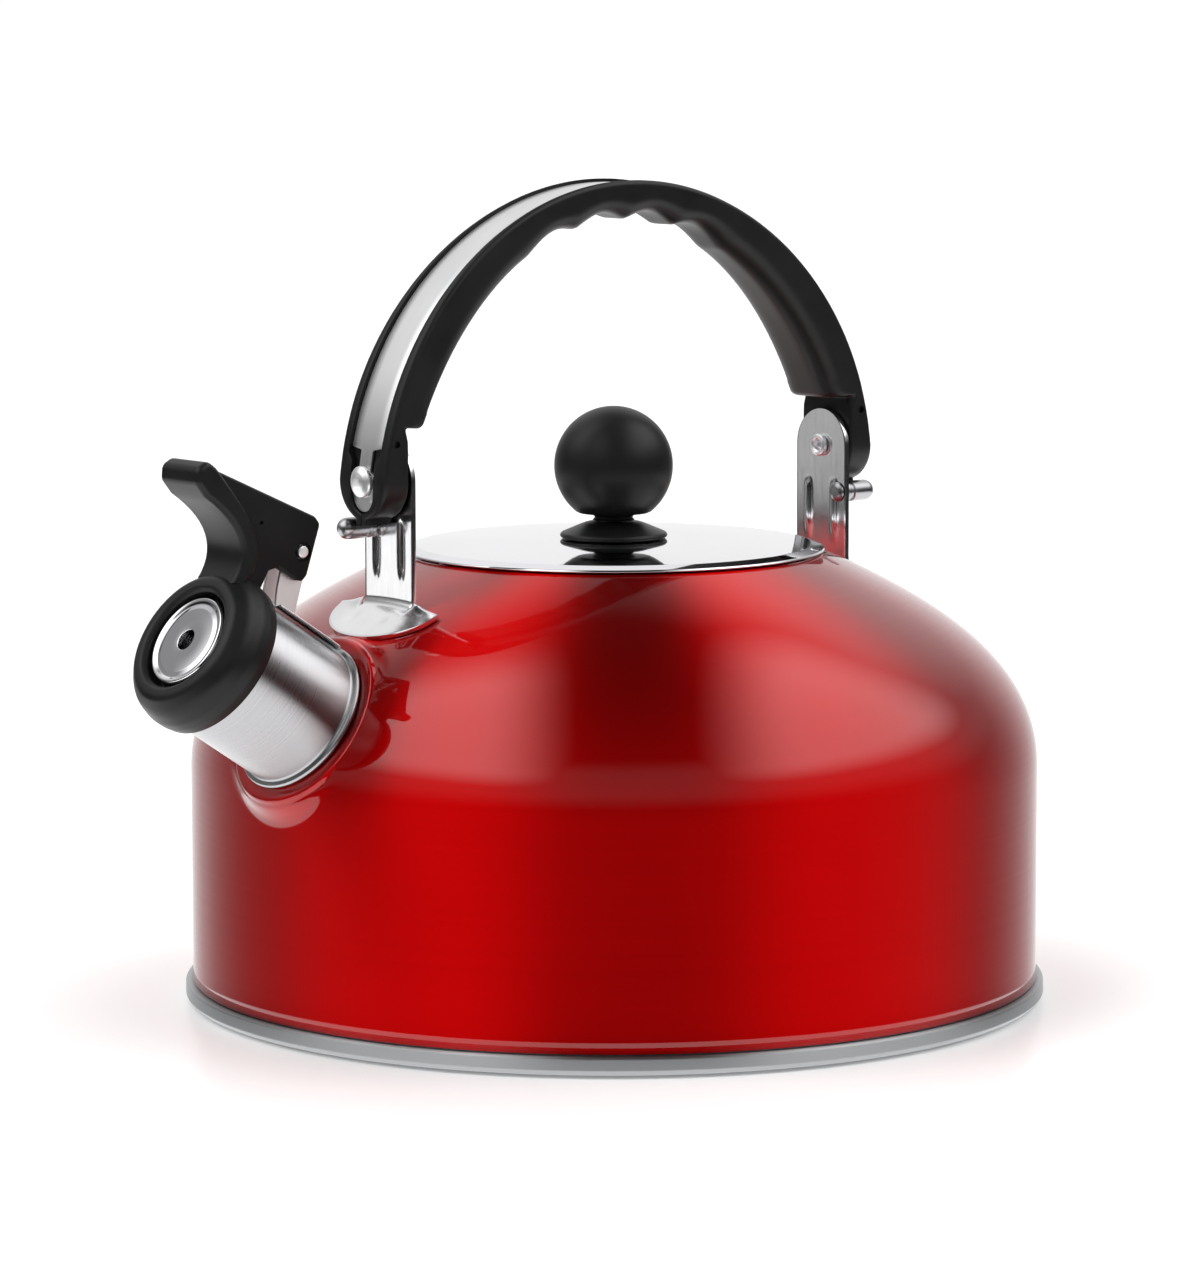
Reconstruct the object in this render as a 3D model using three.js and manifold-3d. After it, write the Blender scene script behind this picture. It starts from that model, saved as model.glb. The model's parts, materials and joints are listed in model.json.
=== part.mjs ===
// Stovetop whistling kettle, three litre class.
// Millimetres, +Z up. The origin is the centre of the resting face under the base.
// The spout points to -X, and the handle's arch stands in the XZ plane.
import * as THREE from 'three';
import { mergeVertices } from 'three/addons/utils/BufferGeometryUtils.js';
import Module from 'manifold-3d';

const wasm = await Module();
wasm.setup();

// ---- driving dimensions -------------------------------------------------------------------
const GAP = 0.3;                 // left wherever two pieces would touch
const SHEET = 0.6;               // stainless sheet of the body, lid and base
const ROUND = 36;                // facets on the large turned pieces
const TUBE_ROUND = 24;           // facets on the spout and the whistle
const KNOB_ROUND = 20;
const SMALL_ROUND = 12;          // facets on fasteners and their holes

const BASE_R = 110;              // rolled rim of the base pan
const BASE_RIM_TOP = 5.2;
const BODY_R = 108;              // straight wall of the body
const BODY_BOTTOM = 5.6;
const SHOULDER_Z = 60;           // where the straight wall turns into the dome
const MOUTH_R = 45.5;            // clear radius of the filling mouth
const MOUTH_RIM_R = 54;          // where the dome meets the flat of the mouth
const MOUTH_Z = 113.6;
const DOME_SLOPE = 24;           // degrees, at the mouth
const DOME_LOWER_PULL = 25;      // how far the dome's curve holds its two end directions
const DOME_UPPER_PULL = 33;

const SPOUT_TILT = 33;           // degrees above the horizontal
const SPOUT_FOOT = [-99.3, 80.2]; // x and z of the centre of the spout's foot bead
const SPOUT_R = 18;
const SPOUT_BEAD_R = 19.6;
const SPOUT_WALL = 0.7;
const SPOUT_INNER_END = -7;      // along the spout from its foot bead
const SPOUT_MOUTH = 33;
const COLLAR_R = 23;             // raised seat around the spout, pressed in the body

const LID_R = 53.8;
const LID_TOP = 117.2;           // the lid's flat seat, under the knob
const LID_SEAT_R = 14.5;
const LID_BEND = { r: 50.2, z: 116 };                  // where the lid's dome turns down to its rim
const LID_SKIRT_END = 103;
const WASHER_T = 1;
const KNOB_FOOT_T = 4.1;
const KNOB_R = 15.15;
const KNOB_Z = 135.8;

const PIVOT_X = 71;              // inner face of the bracket straps
const PIVOT_Z = 136.8;
const STRAP_T = 1.2;
const STRAP_HALF = 9.5;
const FOOT_REACH = 12.5;         // bracket foot, outwards from the strap
const FOOT_HALF = 19;            // and to each side
const STUD_R = 2.7;              // stop stud beside and below each pivot
const STUD_Y = 6.6;
const STUD_DROP = 12;
const STUD_END = 82.5;

const ARCH_OUT = { half: 81, rise: 79.8, z: 128.5 };   // outer line of the handle
const ARCH_IN = { half: 74, rise: 88, z: 110.5 };      // underside of its grip
const LEG_INNER = 72.8;
const GRIP_END_Z = 150;
const HANDLE_HALF_LEG = 9.5;
const HANDLE_HALF_TOP = 8.1;
const GROOVE_HALF = 6.5;
const GROOVE_DEPTH = 1.7;
const STRIP_SINK = 0.8;          // the strip's face below the handle's outer line
const STRIP_T = 0.6;
const SCALLOP = { depth: 2, pitch: 16, count: 4 };

const PIN = [24.8, 33.2];        // whistle hinge pin: along the spout, above its centre line
const PIN_R = 1.5;
const PIN_HALF = 5.3;
const CAP_R = 20.4;
const CAP_BACK = 29.8;
const CAP_FRONT = 41.9;
const LEVER_HALF = 8;            // thumb plate
const WEB_HALF = 5;              // hinge block behind it
const EAR_IN = 2.2;              // bracket ears, from y = 2.2 to 3.0
const EAR_OUT = 3;

// ---- small helpers ------------------------------------------------------------------------
const X = new THREE.Vector3(1, 0, 0);
const Y = new THREE.Vector3(0, 1, 0);
const Z = new THREE.Vector3(0, 0, 1);
const radians = THREE.MathUtils.degToRad;

// Shared vertices joined, and the empty triangles that a lathe leaves on its axis dropped.
function weld(geometry) {
  const bare = geometry.clone();
  bare.deleteAttribute('normal');
  bare.deleteAttribute('uv');
  const merged = mergeVertices(bare, 1e-4);
  const index = merged.getIndex().array;
  const kept = [];
  for (let i = 0; i < index.length; i += 3) {
    const [a, b, c] = [index[i], index[i + 1], index[i + 2]];
    if (a !== b && b !== c && c !== a) kept.push(a, b, c);
  }
  merged.setIndex(kept);
  return merged;
}

function solid(geometry) {
  const merged = weld(geometry);
  return new wasm.Manifold(new wasm.Mesh({
    numProp: 3,
    vertProperties: new Float32Array(merged.getAttribute('position').array),
    triVerts: new Uint32Array(merged.getIndex().array),
  }));
}

function surface(body) {
  const mesh = body.getMesh();
  const geometry = new THREE.BufferGeometry();
  geometry.setAttribute('position', new THREE.BufferAttribute(new Float32Array(mesh.vertProperties), 3));
  geometry.setIndex(new THREE.BufferAttribute(new Uint32Array(mesh.triVerts), 1));
  geometry.computeVertexNormals();
  return geometry;
}

const joined = (...parts) => surface(parts.map(solid).reduce((sum, part) => sum.add(part)));

function cutFrom(geometry, ...tools) {
  return surface(tools.map(solid).reduce((rest, tool) => rest.subtract(tool), solid(geometry)));
}

function common(...parts) {
  return surface(parts.map(solid).reduce((rest, part) => rest.intersect(part)));
}

// A turned solid about +Z from [radius, z] points. An outline that starts off the axis is closed.
function turned(outline, facets = SMALL_ROUND) {
  const points = outline.map(([r, z]) => new THREE.Vector2(r, z));
  if (outline[0][0] > 0) points.push(points[0].clone());
  if (THREE.ShapeUtils.area(points) < 0) points.reverse();
  return new THREE.LatheGeometry(points, facets).rotateX(Math.PI / 2);
}

// An outline in the XZ plane with its thickness along Y, from y0 to y1.
function plateXZ(shape, y0, y1, curveSegments = 12) {
  const plate = new THREE.ExtrudeGeometry(shape, { depth: y1 - y0, bevelEnabled: false, curveSegments });
  plate.applyMatrix4(new THREE.Matrix4().makeBasis(X, Z, Y.clone().negate()));
  return plate.translate(0, y1, 0);
}

// An outline in the YZ plane with its thickness along X, from x0 to x1.
function plateYZ(shape, x0, x1, curveSegments = 12) {
  const plate = new THREE.ExtrudeGeometry(shape, { depth: x1 - x0, bevelEnabled: false, curveSegments });
  plate.applyMatrix4(new THREE.Matrix4().makeBasis(Y, Z, X));
  return plate.translate(x0, 0, 0);
}

const polygon = (points) => new THREE.Shape(points.map(([a, b]) => new THREE.Vector2(a, b)));
const alongX = (geometry) => geometry.rotateY(Math.PI / 2);
const alongY = (geometry) => geometry.rotateX(-Math.PI / 2);
const rod = (r, z0, z1, facets = SMALL_ROUND) => turned([[0, z0], [r, z0], [r, z1], [0, z1]], facets);

function finish(color, roughness, metalness) {
  return new THREE.MeshStandardMaterial({ color, roughness, metalness });
}

const LACQUER = finish(0xb8060c, 0.22, 0.35);
const BRUSHED = finish(0xb9bbbe, 0.38, 0.95);
const POLISHED = finish(0xdadbdd, 0.12, 1);
const ALUMINIUM = finish(0xaeb0b4, 0.5, 0.9);
const BAKELITE = finish(0x232424, 0.55, 0);
const SPRING_STEEL = finish(0x8f9194, 0.35, 0.95);

const kettle = new THREE.Group();

function place(parent, name, geometry, material) {
  const mesh = new THREE.Mesh(geometry, material);
  mesh.name = name;
  parent.add(mesh);
  return mesh;
}

// ---- body ---------------------------------------------------------------------------------
// Middle line of the dome from the straight wall to the mouth, moved outwards by `offset`.
function domeLine(offset, steps = 8) {
  const slope = radians(DOME_SLOPE);
  const curve = new THREE.CubicBezierCurve(
    new THREE.Vector2(BODY_R, SHOULDER_Z),
    new THREE.Vector2(BODY_R, SHOULDER_Z + DOME_LOWER_PULL),
    new THREE.Vector2(
      MOUTH_RIM_R + DOME_UPPER_PULL * Math.cos(slope),
      MOUTH_Z - DOME_UPPER_PULL * Math.sin(slope),
    ),
    new THREE.Vector2(MOUTH_RIM_R, MOUTH_Z),
  );
  const line = [];
  for (let i = 0; i <= steps; i += 1) {
    const point = curve.getPoint(i / steps);
    const along = curve.getTangent(i / steps);
    line.push([point.x + along.y * offset, point.y - along.x * offset]);
  }
  return line;
}

// Wall of the body from its foot to the turned-in edge of the mouth.
function bodyLine(inset) {
  const flat = MOUTH_Z + 0.3 - inset;
  return [
    [BODY_R - inset, BODY_BOTTOM],
    ...domeLine(-inset),
    [MOUTH_RIM_R - 2, flat],
    [MOUTH_R + 1 + inset / 2, flat],
    [MOUTH_R + inset, MOUTH_Z - 0.6],
    [MOUTH_R + inset, 108],
  ];
}

// The space inside the body, closed below, used to trim what would reach into it.
function bodySpace() {
  return turned([[0, BODY_BOTTOM], ...bodyLine(SHEET), [0, 108]], ROUND);
}

function spoutMatrix() {
  const tilt = radians(SPOUT_TILT);
  const along = new THREE.Vector3(-Math.cos(tilt), 0, Math.sin(tilt));
  const above = new THREE.Vector3(Math.sin(tilt), 0, Math.cos(tilt));
  const matrix = new THREE.Matrix4().makeBasis(above, Y, along);
  return matrix.setPosition(SPOUT_FOOT[0], 0, SPOUT_FOOT[1]);
}

// Seat around the spout: a flat ring square to the spout, blended to the dome by its rounded edge.
function collar() {
  return turned([
    [SPOUT_R - 1, -14], [COLLAR_R + 0.9, -14], [COLLAR_R + 0.6, -4], [COLLAR_R, -1.6],
    [COLLAR_R - 0.7, -0.7], [COLLAR_R - 2, -GAP], [SPOUT_R - 1, -GAP],
  ], TUBE_ROUND).applyMatrix4(spoutMatrix());
}

function bodyShell() {
  const wall = turned([...bodyLine(0), ...bodyLine(SHEET).reverse()], ROUND);
  const seat = cutFrom(collar(), bodySpace());
  const bore = rod(SPOUT_R + GAP, -30, 10, TUBE_ROUND).applyMatrix4(spoutMatrix());
  const face = rod(COLLAR_R - 0.7, -GAP, 12, TUBE_ROUND).applyMatrix4(spoutMatrix());
  return cutFrom(joined(wall, seat), bore, face);
}

// Flat floor of the body with its edge rolled into the seam under the wall.
function basePan() {
  const floor = 3.5;
  return turned([
    [0, floor], [BASE_R - 6.5, floor], [BASE_R - 4.6, 1.2], [BASE_R - 2.8, 0.6], [BASE_R - 0.9, 1],
    [BASE_R, 2.4], [BASE_R, 4], [BASE_R - 0.8, BASE_RIM_TOP], [BASE_R - 2.9, BASE_RIM_TOP],
    [BASE_R - 3.9, floor + SHEET], [0, floor + SHEET],
  ], ROUND);
}

const heatDisc = () => turned([[0, 0.9], [99, 0.9], [99, 3.2], [0, 3.2]], ROUND);

function capsuleCover() {
  return turned([
    [0, 0], [99, 0], [100.2, 1], [100.2, 3.2], [99.6, 3.2], [99.6, 1.3], [98.8, SHEET], [0, SHEET],
  ], ROUND);
}

// ---- spout, in its own frame: z along the spout from the foot bead, x above it -------------
function spoutTube() {
  const inner = SPOUT_R - SPOUT_WALL;
  return turned([
    [inner, SPOUT_INNER_END], [SPOUT_R, SPOUT_INNER_END], [SPOUT_R, 0], [SPOUT_BEAD_R - 0.4, 0],
    [SPOUT_BEAD_R, 0.6], [SPOUT_BEAD_R - 0.4, 1.3], [SPOUT_R, 1.6], [SPOUT_R, SPOUT_MOUTH],
    [inner, SPOUT_MOUTH],
  ], TUBE_ROUND);
}

// Saddle strip along the top of the tube with two ears up to the hinge pin.
function hingeBracket() {
  const start = 2;
  const end = 24;
  const inside = SPOUT_R + GAP;
  const band = turned([[inside, start], [inside + 1, start], [inside + 1, end], [inside, end]], 96);
  const sector = polygon([[10, start - 1], [30, start - 1], [30, end + 1], [10, end + 1]]);
  const saddle = common(band, plateXZ(sector, -5.5, 5.5));
  const ear = polygon([
    [inside + 0.4, 17.2], [28.5, 20], [PIN[1] + 1, PIN[0] - 3.3], [PIN[1] + 3, PIN[0] - 1.6],
    [PIN[1] + 3.4, PIN[0]], [PIN[1] + 3, PIN[0] + 1.6], [PIN[1] + 1, PIN[0] + 3.3],
    [26, 26.6], [22.4, 25.4], [inside + 0.4, 23.6],
  ]);
  const ears = [-EAR_OUT, EAR_IN].map((y) => plateXZ(ear, y, y + EAR_OUT - EAR_IN));
  const hole = alongY(rod(PIN_R + GAP, -8, 8, SMALL_ROUND)).translate(PIN[1], 0, PIN[0]);
  return cutFrom(joined(saddle, ...ears), hole);
}

// Closed ring around the spout's mouth; its front opening shows the whistle.
function capRing() {
  return turned([
    [SPOUT_R + 0.6, CAP_BACK + 0.3], [SPOUT_R + 1.4, CAP_BACK], [CAP_R - 0.4, 31], [CAP_R, 32.8],
    [CAP_R, 35.4], [CAP_R - 0.7, 38], [CAP_R - 2.3, 40.5], [CAP_R - 4.6, CAP_FRONT],
    [13.9, CAP_FRONT], [12.9, 41], [12.9, 35.4], [16.5, 35.4], [16.5, 33.4], [SPOUT_R + 0.6, 33.4],
  ], TUBE_ROUND);
}

function thumbPlate() {
  const shape = new THREE.Shape();
  shape.moveTo(16, 38);
  shape.lineTo(16, 40.9);
  shape.bezierCurveTo(25, 40, 29.4, 46, 29.6, 58.7);
  shape.lineTo(31.4, 62.6);
  shape.quadraticCurveTo(33.6, 64.8, 36.4, 62.4);
  shape.lineTo(37.2, 59.6);
  shape.bezierCurveTo(33, 46, 30, 37.5, 22, 36.6);
  return plateXZ(shape, -LEVER_HALF, LEVER_HALF);
}

function hingeBlock() {
  return plateXZ(polygon([
    [37.1, 60], [42.4, 26], [41.7, 23.9], [29, 20.5], [27.3, 20.9], [26.3, 22.7], [26.3, 29.3],
    [24.5, 31.1], [17.5, 30.8], [17.5, 39.6], [24, 41.4], [28.5, 46], [31.5, 56],
  ]), -WEB_HALF, WEB_HALF);
}

// One moulding: cap ring, thumb plate and the slotted block that swings on the hinge pin.
function whistleCap() {
  const inside = rod(SPOUT_R + 0.6, 20, 33.4, TUBE_ROUND);
  const front = rod(12.9, 30, 46, TUBE_ROUND);
  const pocket = rod(16.5, 33.4, 35.4, TUBE_ROUND);
  const slot = plateXZ(polygon([
    [21, 15], [PIN[1] + 4.4, 15], [PIN[1] + 4.4, PIN[0] + 4.2], [21, PIN[0] + 4.2],
  ]), -EAR_OUT - 0.4, EAR_OUT + 0.4);
  const hole = alongY(rod(PIN_R + GAP, -9, 9, SMALL_ROUND)).translate(PIN[1], 0, PIN[0]);
  const sink = [-9, WEB_HALF - 0.8].map((y) => (
    alongY(rod(PIN_R + 0.9, y, y + 4 + 0.2, SMALL_ROUND)).translate(PIN[1], 0, PIN[0])
  ));
  return cutFrom(joined(capRing(), thumbPlate(), hingeBlock()), inside, front, pocket, slot, hole, ...sink);
}

function whistleFrontDisc() {
  return turned([
    [2.7, 40], [9.6, 39.7], [10.2, 39.5], [11.1, 39.2], [11.1, 36], [11.8, 36], [11.8, 40.2],
    [11.2, 40.7], [10.3, 40.4], [9.6, 40.3], [2.7, 40.6],
  ], TUBE_ROUND);
}

function whistleRearDisc() {
  return turned([
    [2, 34.1], [16.2, 34.1], [16.2, 34.8], [10.8, 34.8], [10.8, 38.6], [10.2, 38.6], [10.2, 34.8],
    [2, 34.8],
  ], TUBE_ROUND);
}

const hingePin = () => alongY(rod(PIN_R, -PIN_HALF, PIN_HALF, SMALL_ROUND)).translate(PIN[1], 0, PIN[0]);

// Torsion spring: a close coil on the pin with one leg down to the saddle.
function hingeSpring() {
  const wire = 0.35;
  const coilR = 2.5;
  const turns = 4.25;
  const width = 3.2;
  const leg = 9;
  class Coil extends THREE.Curve {
    getPoint(t) {
      const share = 0.85;
      if (t <= share) {
        const angle = (t / share) * turns * 2 * Math.PI;
        const y = -width / 2 + (t / share) * width;
        return new THREE.Vector3(Math.cos(angle) * coilR, y, Math.sin(angle) * coilR);
      }
      const down = ((t - share) / (1 - share)) * leg;
      return new THREE.Vector3(-down, width / 2, coilR);
    }
  }
  const section = new THREE.Shape();
  section.absarc(0, 0, wire, 0, 2 * Math.PI);
  const coil = new THREE.ExtrudeGeometry(section, {
    extrudePath: new Coil(), steps: 48, curveSegments: 3, bevelEnabled: false,
  });
  return coil.translate(PIN[1], 0, PIN[0]);
}

// ---- handle brackets ----------------------------------------------------------------------
// A strap up to the pivot and a half-oval foot pressed to the dome's curve. Drawn for +X.
function bracket() {
  const outline = new THREE.Shape();
  outline.moveTo(-STRAP_HALF, 101);
  outline.lineTo(STRAP_HALF, 101);
  outline.lineTo(STRAP_HALF, PIVOT_Z);
  outline.absarc(0, PIVOT_Z, STRAP_HALF, 0, Math.PI);
  const strap = plateYZ(outline, PIVOT_X, PIVOT_X + STRAP_T);
  const below = turned([[0, 0], [BODY_R + GAP, 0], ...domeLine(GAP), [0, MOUTH_Z + GAP]], 96);
  const trimmed = cutFrom(strap, below);
  const skin = turned([...domeLine(GAP, 12), ...domeLine(GAP + STRAP_T, 12).reverse()], 96);
  const foot = new THREE.Shape();
  foot.absellipse(PIVOT_X, 0, FOOT_REACH, FOOT_HALF, -Math.PI / 2, Math.PI / 2);
  const column = new THREE.ExtrudeGeometry(foot, { depth: 60, bevelEnabled: false, curveSegments: 14 });
  const plate = common(skin, column.translate(0, 0, 70));
  const pivot = alongX(rod(2.2, 60, 80, SMALL_ROUND)).translate(0, 0, PIVOT_Z);
  const stud = alongX(rod(1.9, 60, 80, SMALL_ROUND)).translate(0, -STUD_Y, PIVOT_Z - STUD_DROP);
  return cutFrom(joined(trimmed, plate), pivot, stud);
}

// Domed head outside, shank through the leg and the strap, flared end inside. Drawn for +X.
function pivotRivet() {
  const head = 80.1;
  const inner = PIVOT_X - GAP;
  return alongX(turned([
    [0, inner + 0.4], [1.3, inner + 0.4], [1.5, inner - 1.1], [2.5, inner - 1.3], [3, inner - 0.7],
    [2.6, inner], [1.9, inner], [1.9, head], [4, head], [3.7, head + 0.7], [2.6, head + 1.5],
    [1.3, head + 1.9], [0, head + 2],
  ], SMALL_ROUND)).translate(0, 0, PIVOT_Z);
}

// Round-ended stud riveted through the strap. Drawn for +X, on the -Y side of the pivot.
function stopStud() {
  const inner = PIVOT_X - GAP;
  const outer = PIVOT_X + STRAP_T + GAP;
  const end = [];
  for (let i = 0; i <= 3; i += 1) {
    const angle = (i / 3) * Math.PI / 2;
    end.push([STUD_R * Math.cos(angle), STUD_END - STUD_R + STUD_R * Math.sin(angle)]);
  }
  end[3][0] = 0;
  return alongX(turned([
    [0, inner - 0.8], [2.2, inner - 0.8], [2.5, inner], [1.6, inner], [1.6, outer], [STUD_R, outer],
    [STUD_R, outer + 1.2], [2.3, outer + 1.5], [2.3, outer + 2.1], [STUD_R, outer + 2.4], ...end,
  ], SMALL_ROUND)).translate(0, -STUD_Y, PIVOT_Z - STUD_DROP);
}

// ---- handle -------------------------------------------------------------------------------
// Height of an arch line above a given x, moved inwards by `inset`.
function archPoint(arch, angle, inset = 0) {
  return [(arch.half - inset) * Math.cos(angle), arch.z + (arch.rise - inset) * Math.sin(angle)];
}

function archAngle(arch, z, inset = 0) {
  return Math.asin((z - arch.z) / (arch.rise - inset));
}

// Underside of the grip: an arch line pressed into finger scallops about its top.
function gripPoint(angle) {
  const [x, z] = archPoint(ARCH_IN, angle);
  const reach = (SCALLOP.pitch * SCALLOP.count) / 2;
  if (Math.abs(x) > reach) return [x, z];
  return [x, z + SCALLOP.depth * Math.sin(((x + reach) / SCALLOP.pitch) * Math.PI) ** 2];
}

function sideOutline() {
  const points = [];
  const low = PIVOT_Z - 13;
  const outerX = archPoint(ARCH_OUT, archAngle(ARCH_OUT, PIVOT_Z))[0];
  const start = archAngle(ARCH_OUT, PIVOT_Z);
  points.push([LEG_INNER, low], [outerX, low]);
  for (let i = 0; i <= 26; i += 1) {
    points.push(archPoint(ARCH_OUT, start + (i / 26) * (Math.PI - 2 * start)));
  }
  points.push([-outerX, low], [-LEG_INNER, low], [-LEG_INNER, GRIP_END_Z - 1]);
  const end = archAngle(ARCH_IN, GRIP_END_Z + 2);
  points.push([-LEG_INNER + 1, GRIP_END_Z], [-archPoint(ARCH_IN, end)[0] - 2.4, GRIP_END_Z - 0.6]);
  for (let i = 0; i <= 40; i += 1) {
    points.push(gripPoint(Math.PI - end - (i / 40) * (Math.PI - 2 * end)));
  }
  points.push([archPoint(ARCH_IN, end)[0] + 2.4, GRIP_END_Z - 0.6], [LEG_INNER - 1, GRIP_END_Z]);
  points.push([LEG_INNER, GRIP_END_Z - 1]);
  return polygon(points);
}

// Seen along X: round ends about the pivots with a small stop tab, and a slight taper to the top.
function frontOutline() {
  const top = ARCH_OUT.z + ARCH_OUT.rise + 2;
  const tab = 2.6;
  const endR = HANDLE_HALF_LEG;
  const shape = new THREE.Shape();
  shape.moveTo(tab, PIVOT_Z - 10.6);
  shape.lineTo(tab, PIVOT_Z - Math.sqrt(endR ** 2 - tab ** 2));
  shape.absarc(0, PIVOT_Z, endR, -Math.acos(tab / endR), 0);
  shape.lineTo(HANDLE_HALF_LEG, GRIP_END_Z);
  shape.lineTo(HANDLE_HALF_TOP, top - 20);
  shape.lineTo(HANDLE_HALF_TOP - 0.4, top);
  shape.lineTo(-HANDLE_HALF_TOP + 0.4, top);
  shape.lineTo(-HANDLE_HALF_TOP, top - 20);
  shape.lineTo(-HANDLE_HALF_LEG, GRIP_END_Z);
  shape.lineTo(-HANDLE_HALF_LEG, PIVOT_Z);
  shape.absarc(0, PIVOT_Z, endR, Math.PI, Math.PI + Math.acos(tab / endR));
  shape.lineTo(-tab, PIVOT_Z - 10.6);
  return shape;
}

// A band that follows the outer arch between two insets, from `low` on one leg to the other.
function archBand(inset0, inset1, half, low) {
  const points = [];
  for (const [inset, backwards] of [[inset0, false], [inset1, true]]) {
    const start = archAngle(ARCH_OUT, low, inset);
    const line = [];
    for (let i = 0; i <= 26; i += 1) {
      line.push(archPoint(ARCH_OUT, start + (i / 26) * (Math.PI - 2 * start), inset));
    }
    points.push(...(backwards ? line.reverse() : line));
  }
  return plateXZ(polygon(points), -half, half);
}

// Straight-sided recess or tongue with a round foot, in the YZ plane.
function tongue(half, bottom, top) {
  const shape = new THREE.Shape();
  shape.moveTo(half, bottom + half);
  shape.lineTo(half, top);
  shape.lineTo(-half, top);
  shape.lineTo(-half, bottom + half);
  shape.absarc(0, bottom + half, half, Math.PI, 2 * Math.PI);
  return shape;
}

function handleGrip() {
  const blank = common(plateXZ(sideOutline(), -12, 12), plateYZ(frontOutline(), -90, 90, 10));
  const eye = 4.6;
  const groove = archBand(-3, GROOVE_DEPTH, GROOVE_HALF, PIVOT_Z + 7);
  const neck = archBand(-3, GROOVE_DEPTH, eye, PIVOT_Z);
  const floor = archPoint(ARCH_OUT, archAngle(ARCH_OUT, PIVOT_Z))[0] - GROOVE_DEPTH;
  const recesses = [floor, -90].map((x) => (
    plateYZ(tongue(eye, PIVOT_Z - 7.8, PIVOT_Z + 1.7), x, x + 90 - floor)
  ));
  const hole = alongX(rod(2.2, -95, 95, SMALL_ROUND)).translate(0, 0, PIVOT_Z);
  return cutFrom(blank, groove, neck, ...recesses, hole);
}

// Polished strip let into the outer face; its ends narrow and finish in eyes under the rivets.
function handleStrip() {
  const shoulder = PIVOT_Z + 7.6;
  const wide = GROOVE_HALF - GAP;
  const neck = 2.3;
  const eye = 4.2;
  const band = archBand(STRIP_SINK, STRIP_SINK + STRIP_T, wide, PIVOT_Z);
  const outline = polygon([
    [neck, PIVOT_Z - 1], [neck, shoulder], [wide, shoulder], [wide, 300], [-wide, 300],
    [-wide, shoulder], [-neck, shoulder], [-neck, PIVOT_Z - 1],
  ]);
  const face = archPoint(ARCH_OUT, archAngle(ARCH_OUT, PIVOT_Z))[0] - STRIP_SINK;
  const eyes = [face - STRIP_T, -face].map((x) => (
    plateYZ(tongue(eye, PIVOT_Z - 7.4, PIVOT_Z + 1.4), x, x + STRIP_T)
  ));
  const hole = alongX(rod(2.2, -95, 95, SMALL_ROUND)).translate(0, 0, PIVOT_Z);
  return cutFrom(joined(common(band, plateYZ(outline, -90, 90)), ...eyes), hole);
}

// ---- lid ----------------------------------------------------------------------------------
function lidHeight(r) {
  const along = Math.max(0, (r - LID_SEAT_R) / (LID_BEND.r - LID_SEAT_R));
  return LID_TOP - (LID_TOP - LID_BEND.z) * along ** 2;
}

function lidCover() {
  const dome = [LID_SEAT_R, 21, 27, 33, 39, 45, LID_BEND.r].map((r) => [r, lidHeight(r)]);
  const inside = dome.map(([r, z]) => [r, z - SHEET]);
  return turned([
    [2.4, LID_TOP - SHEET], ...inside, [LID_R - 0.9, 114.4], [LID_R - 0.3, 114.4], [LID_R, 114.65],
    [LID_R - 0.4, 115], ...dome.reverse(), [2.4, LID_TOP],
  ], ROUND);
}

// Ring under the lid that keeps it in the mouth, with a narrow flange welded to the cover.
function lidSkirt() {
  const wall = MOUTH_R - 0.9;
  const flange = wall - 3.5;
  const under = (r) => lidHeight(r) - SHEET - GAP;
  return turned([
    [flange, under(flange) - SHEET], [wall - 1.4, under(wall - 1.4) - SHEET], [wall - SHEET, under(wall) - 1.6],
    [wall - SHEET, LID_SKIRT_END], [wall, LID_SKIRT_END], [wall, under(wall) - 1.4],
    [wall - 0.9, under(wall - 0.9)], [flange, under(flange)],
  ], ROUND);
}

function knobBase() {
  const foot = LID_TOP + GAP;
  return turned([
    [2.4, foot], [13.2, foot], [13.8, foot + 0.5], [13.5, foot + 1.1], [10.6, foot + 2.5],
    [7.2, foot + 3.8], [6.2, foot + KNOB_FOOT_T], [2.4, foot + KNOB_FOOT_T],
  ], KNOB_ROUND);
}

// A ball with a flat foot on a short grooved neck, bored from below for the screw.
function knobBall() {
  const neck = LID_TOP + KNOB_FOOT_T + 2 * GAP;
  const flat = KNOB_Z - 12;
  const outline = [
    [2.3, neck], [5.6, neck], [4.9, neck + 0.4], [4.9, neck + 1.1], [5.6, neck + 1.5], [5.6, flat],
    [8.6, flat],
  ];
  const start = Math.asin(-(12 - 0.3) / KNOB_R);
  for (let i = 0; i <= 9; i += 1) {
    const angle = start + (i / 9) * (Math.PI / 2 - start);
    outline.push([KNOB_R * Math.cos(angle), KNOB_Z + KNOB_R * Math.sin(angle)]);
  }
  outline[outline.length - 1][0] = 0;
  outline.unshift([0, 130], [2.3, 130]);
  return turned(outline, KNOB_ROUND);
}

function knobWasher() {
  const top = LID_TOP - SHEET - GAP;
  return turned([[2.4, top - WASHER_T], [6, top - WASHER_T], [6, top], [2.4, top]], SMALL_ROUND);
}

function knobScrew() {
  const seat = LID_TOP - SHEET - WASHER_T - 2 * GAP;
  const end = 129.6;
  return turned([
    [0, seat - 2.3], [3, seat - 2.3], [4, seat - 1.5], [4, seat], [2, seat], [2, end], [0, end],
  ], SMALL_ROUND);
}

// ---- assembly -----------------------------------------------------------------------------
place(kettle, 'body_shell', bodyShell(), LACQUER);
place(kettle, 'base_pan', basePan(), BRUSHED);
place(kettle, 'heat_disc', heatDisc(), ALUMINIUM);
place(kettle, 'capsule_cover', capsuleCover(), BRUSHED);

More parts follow.
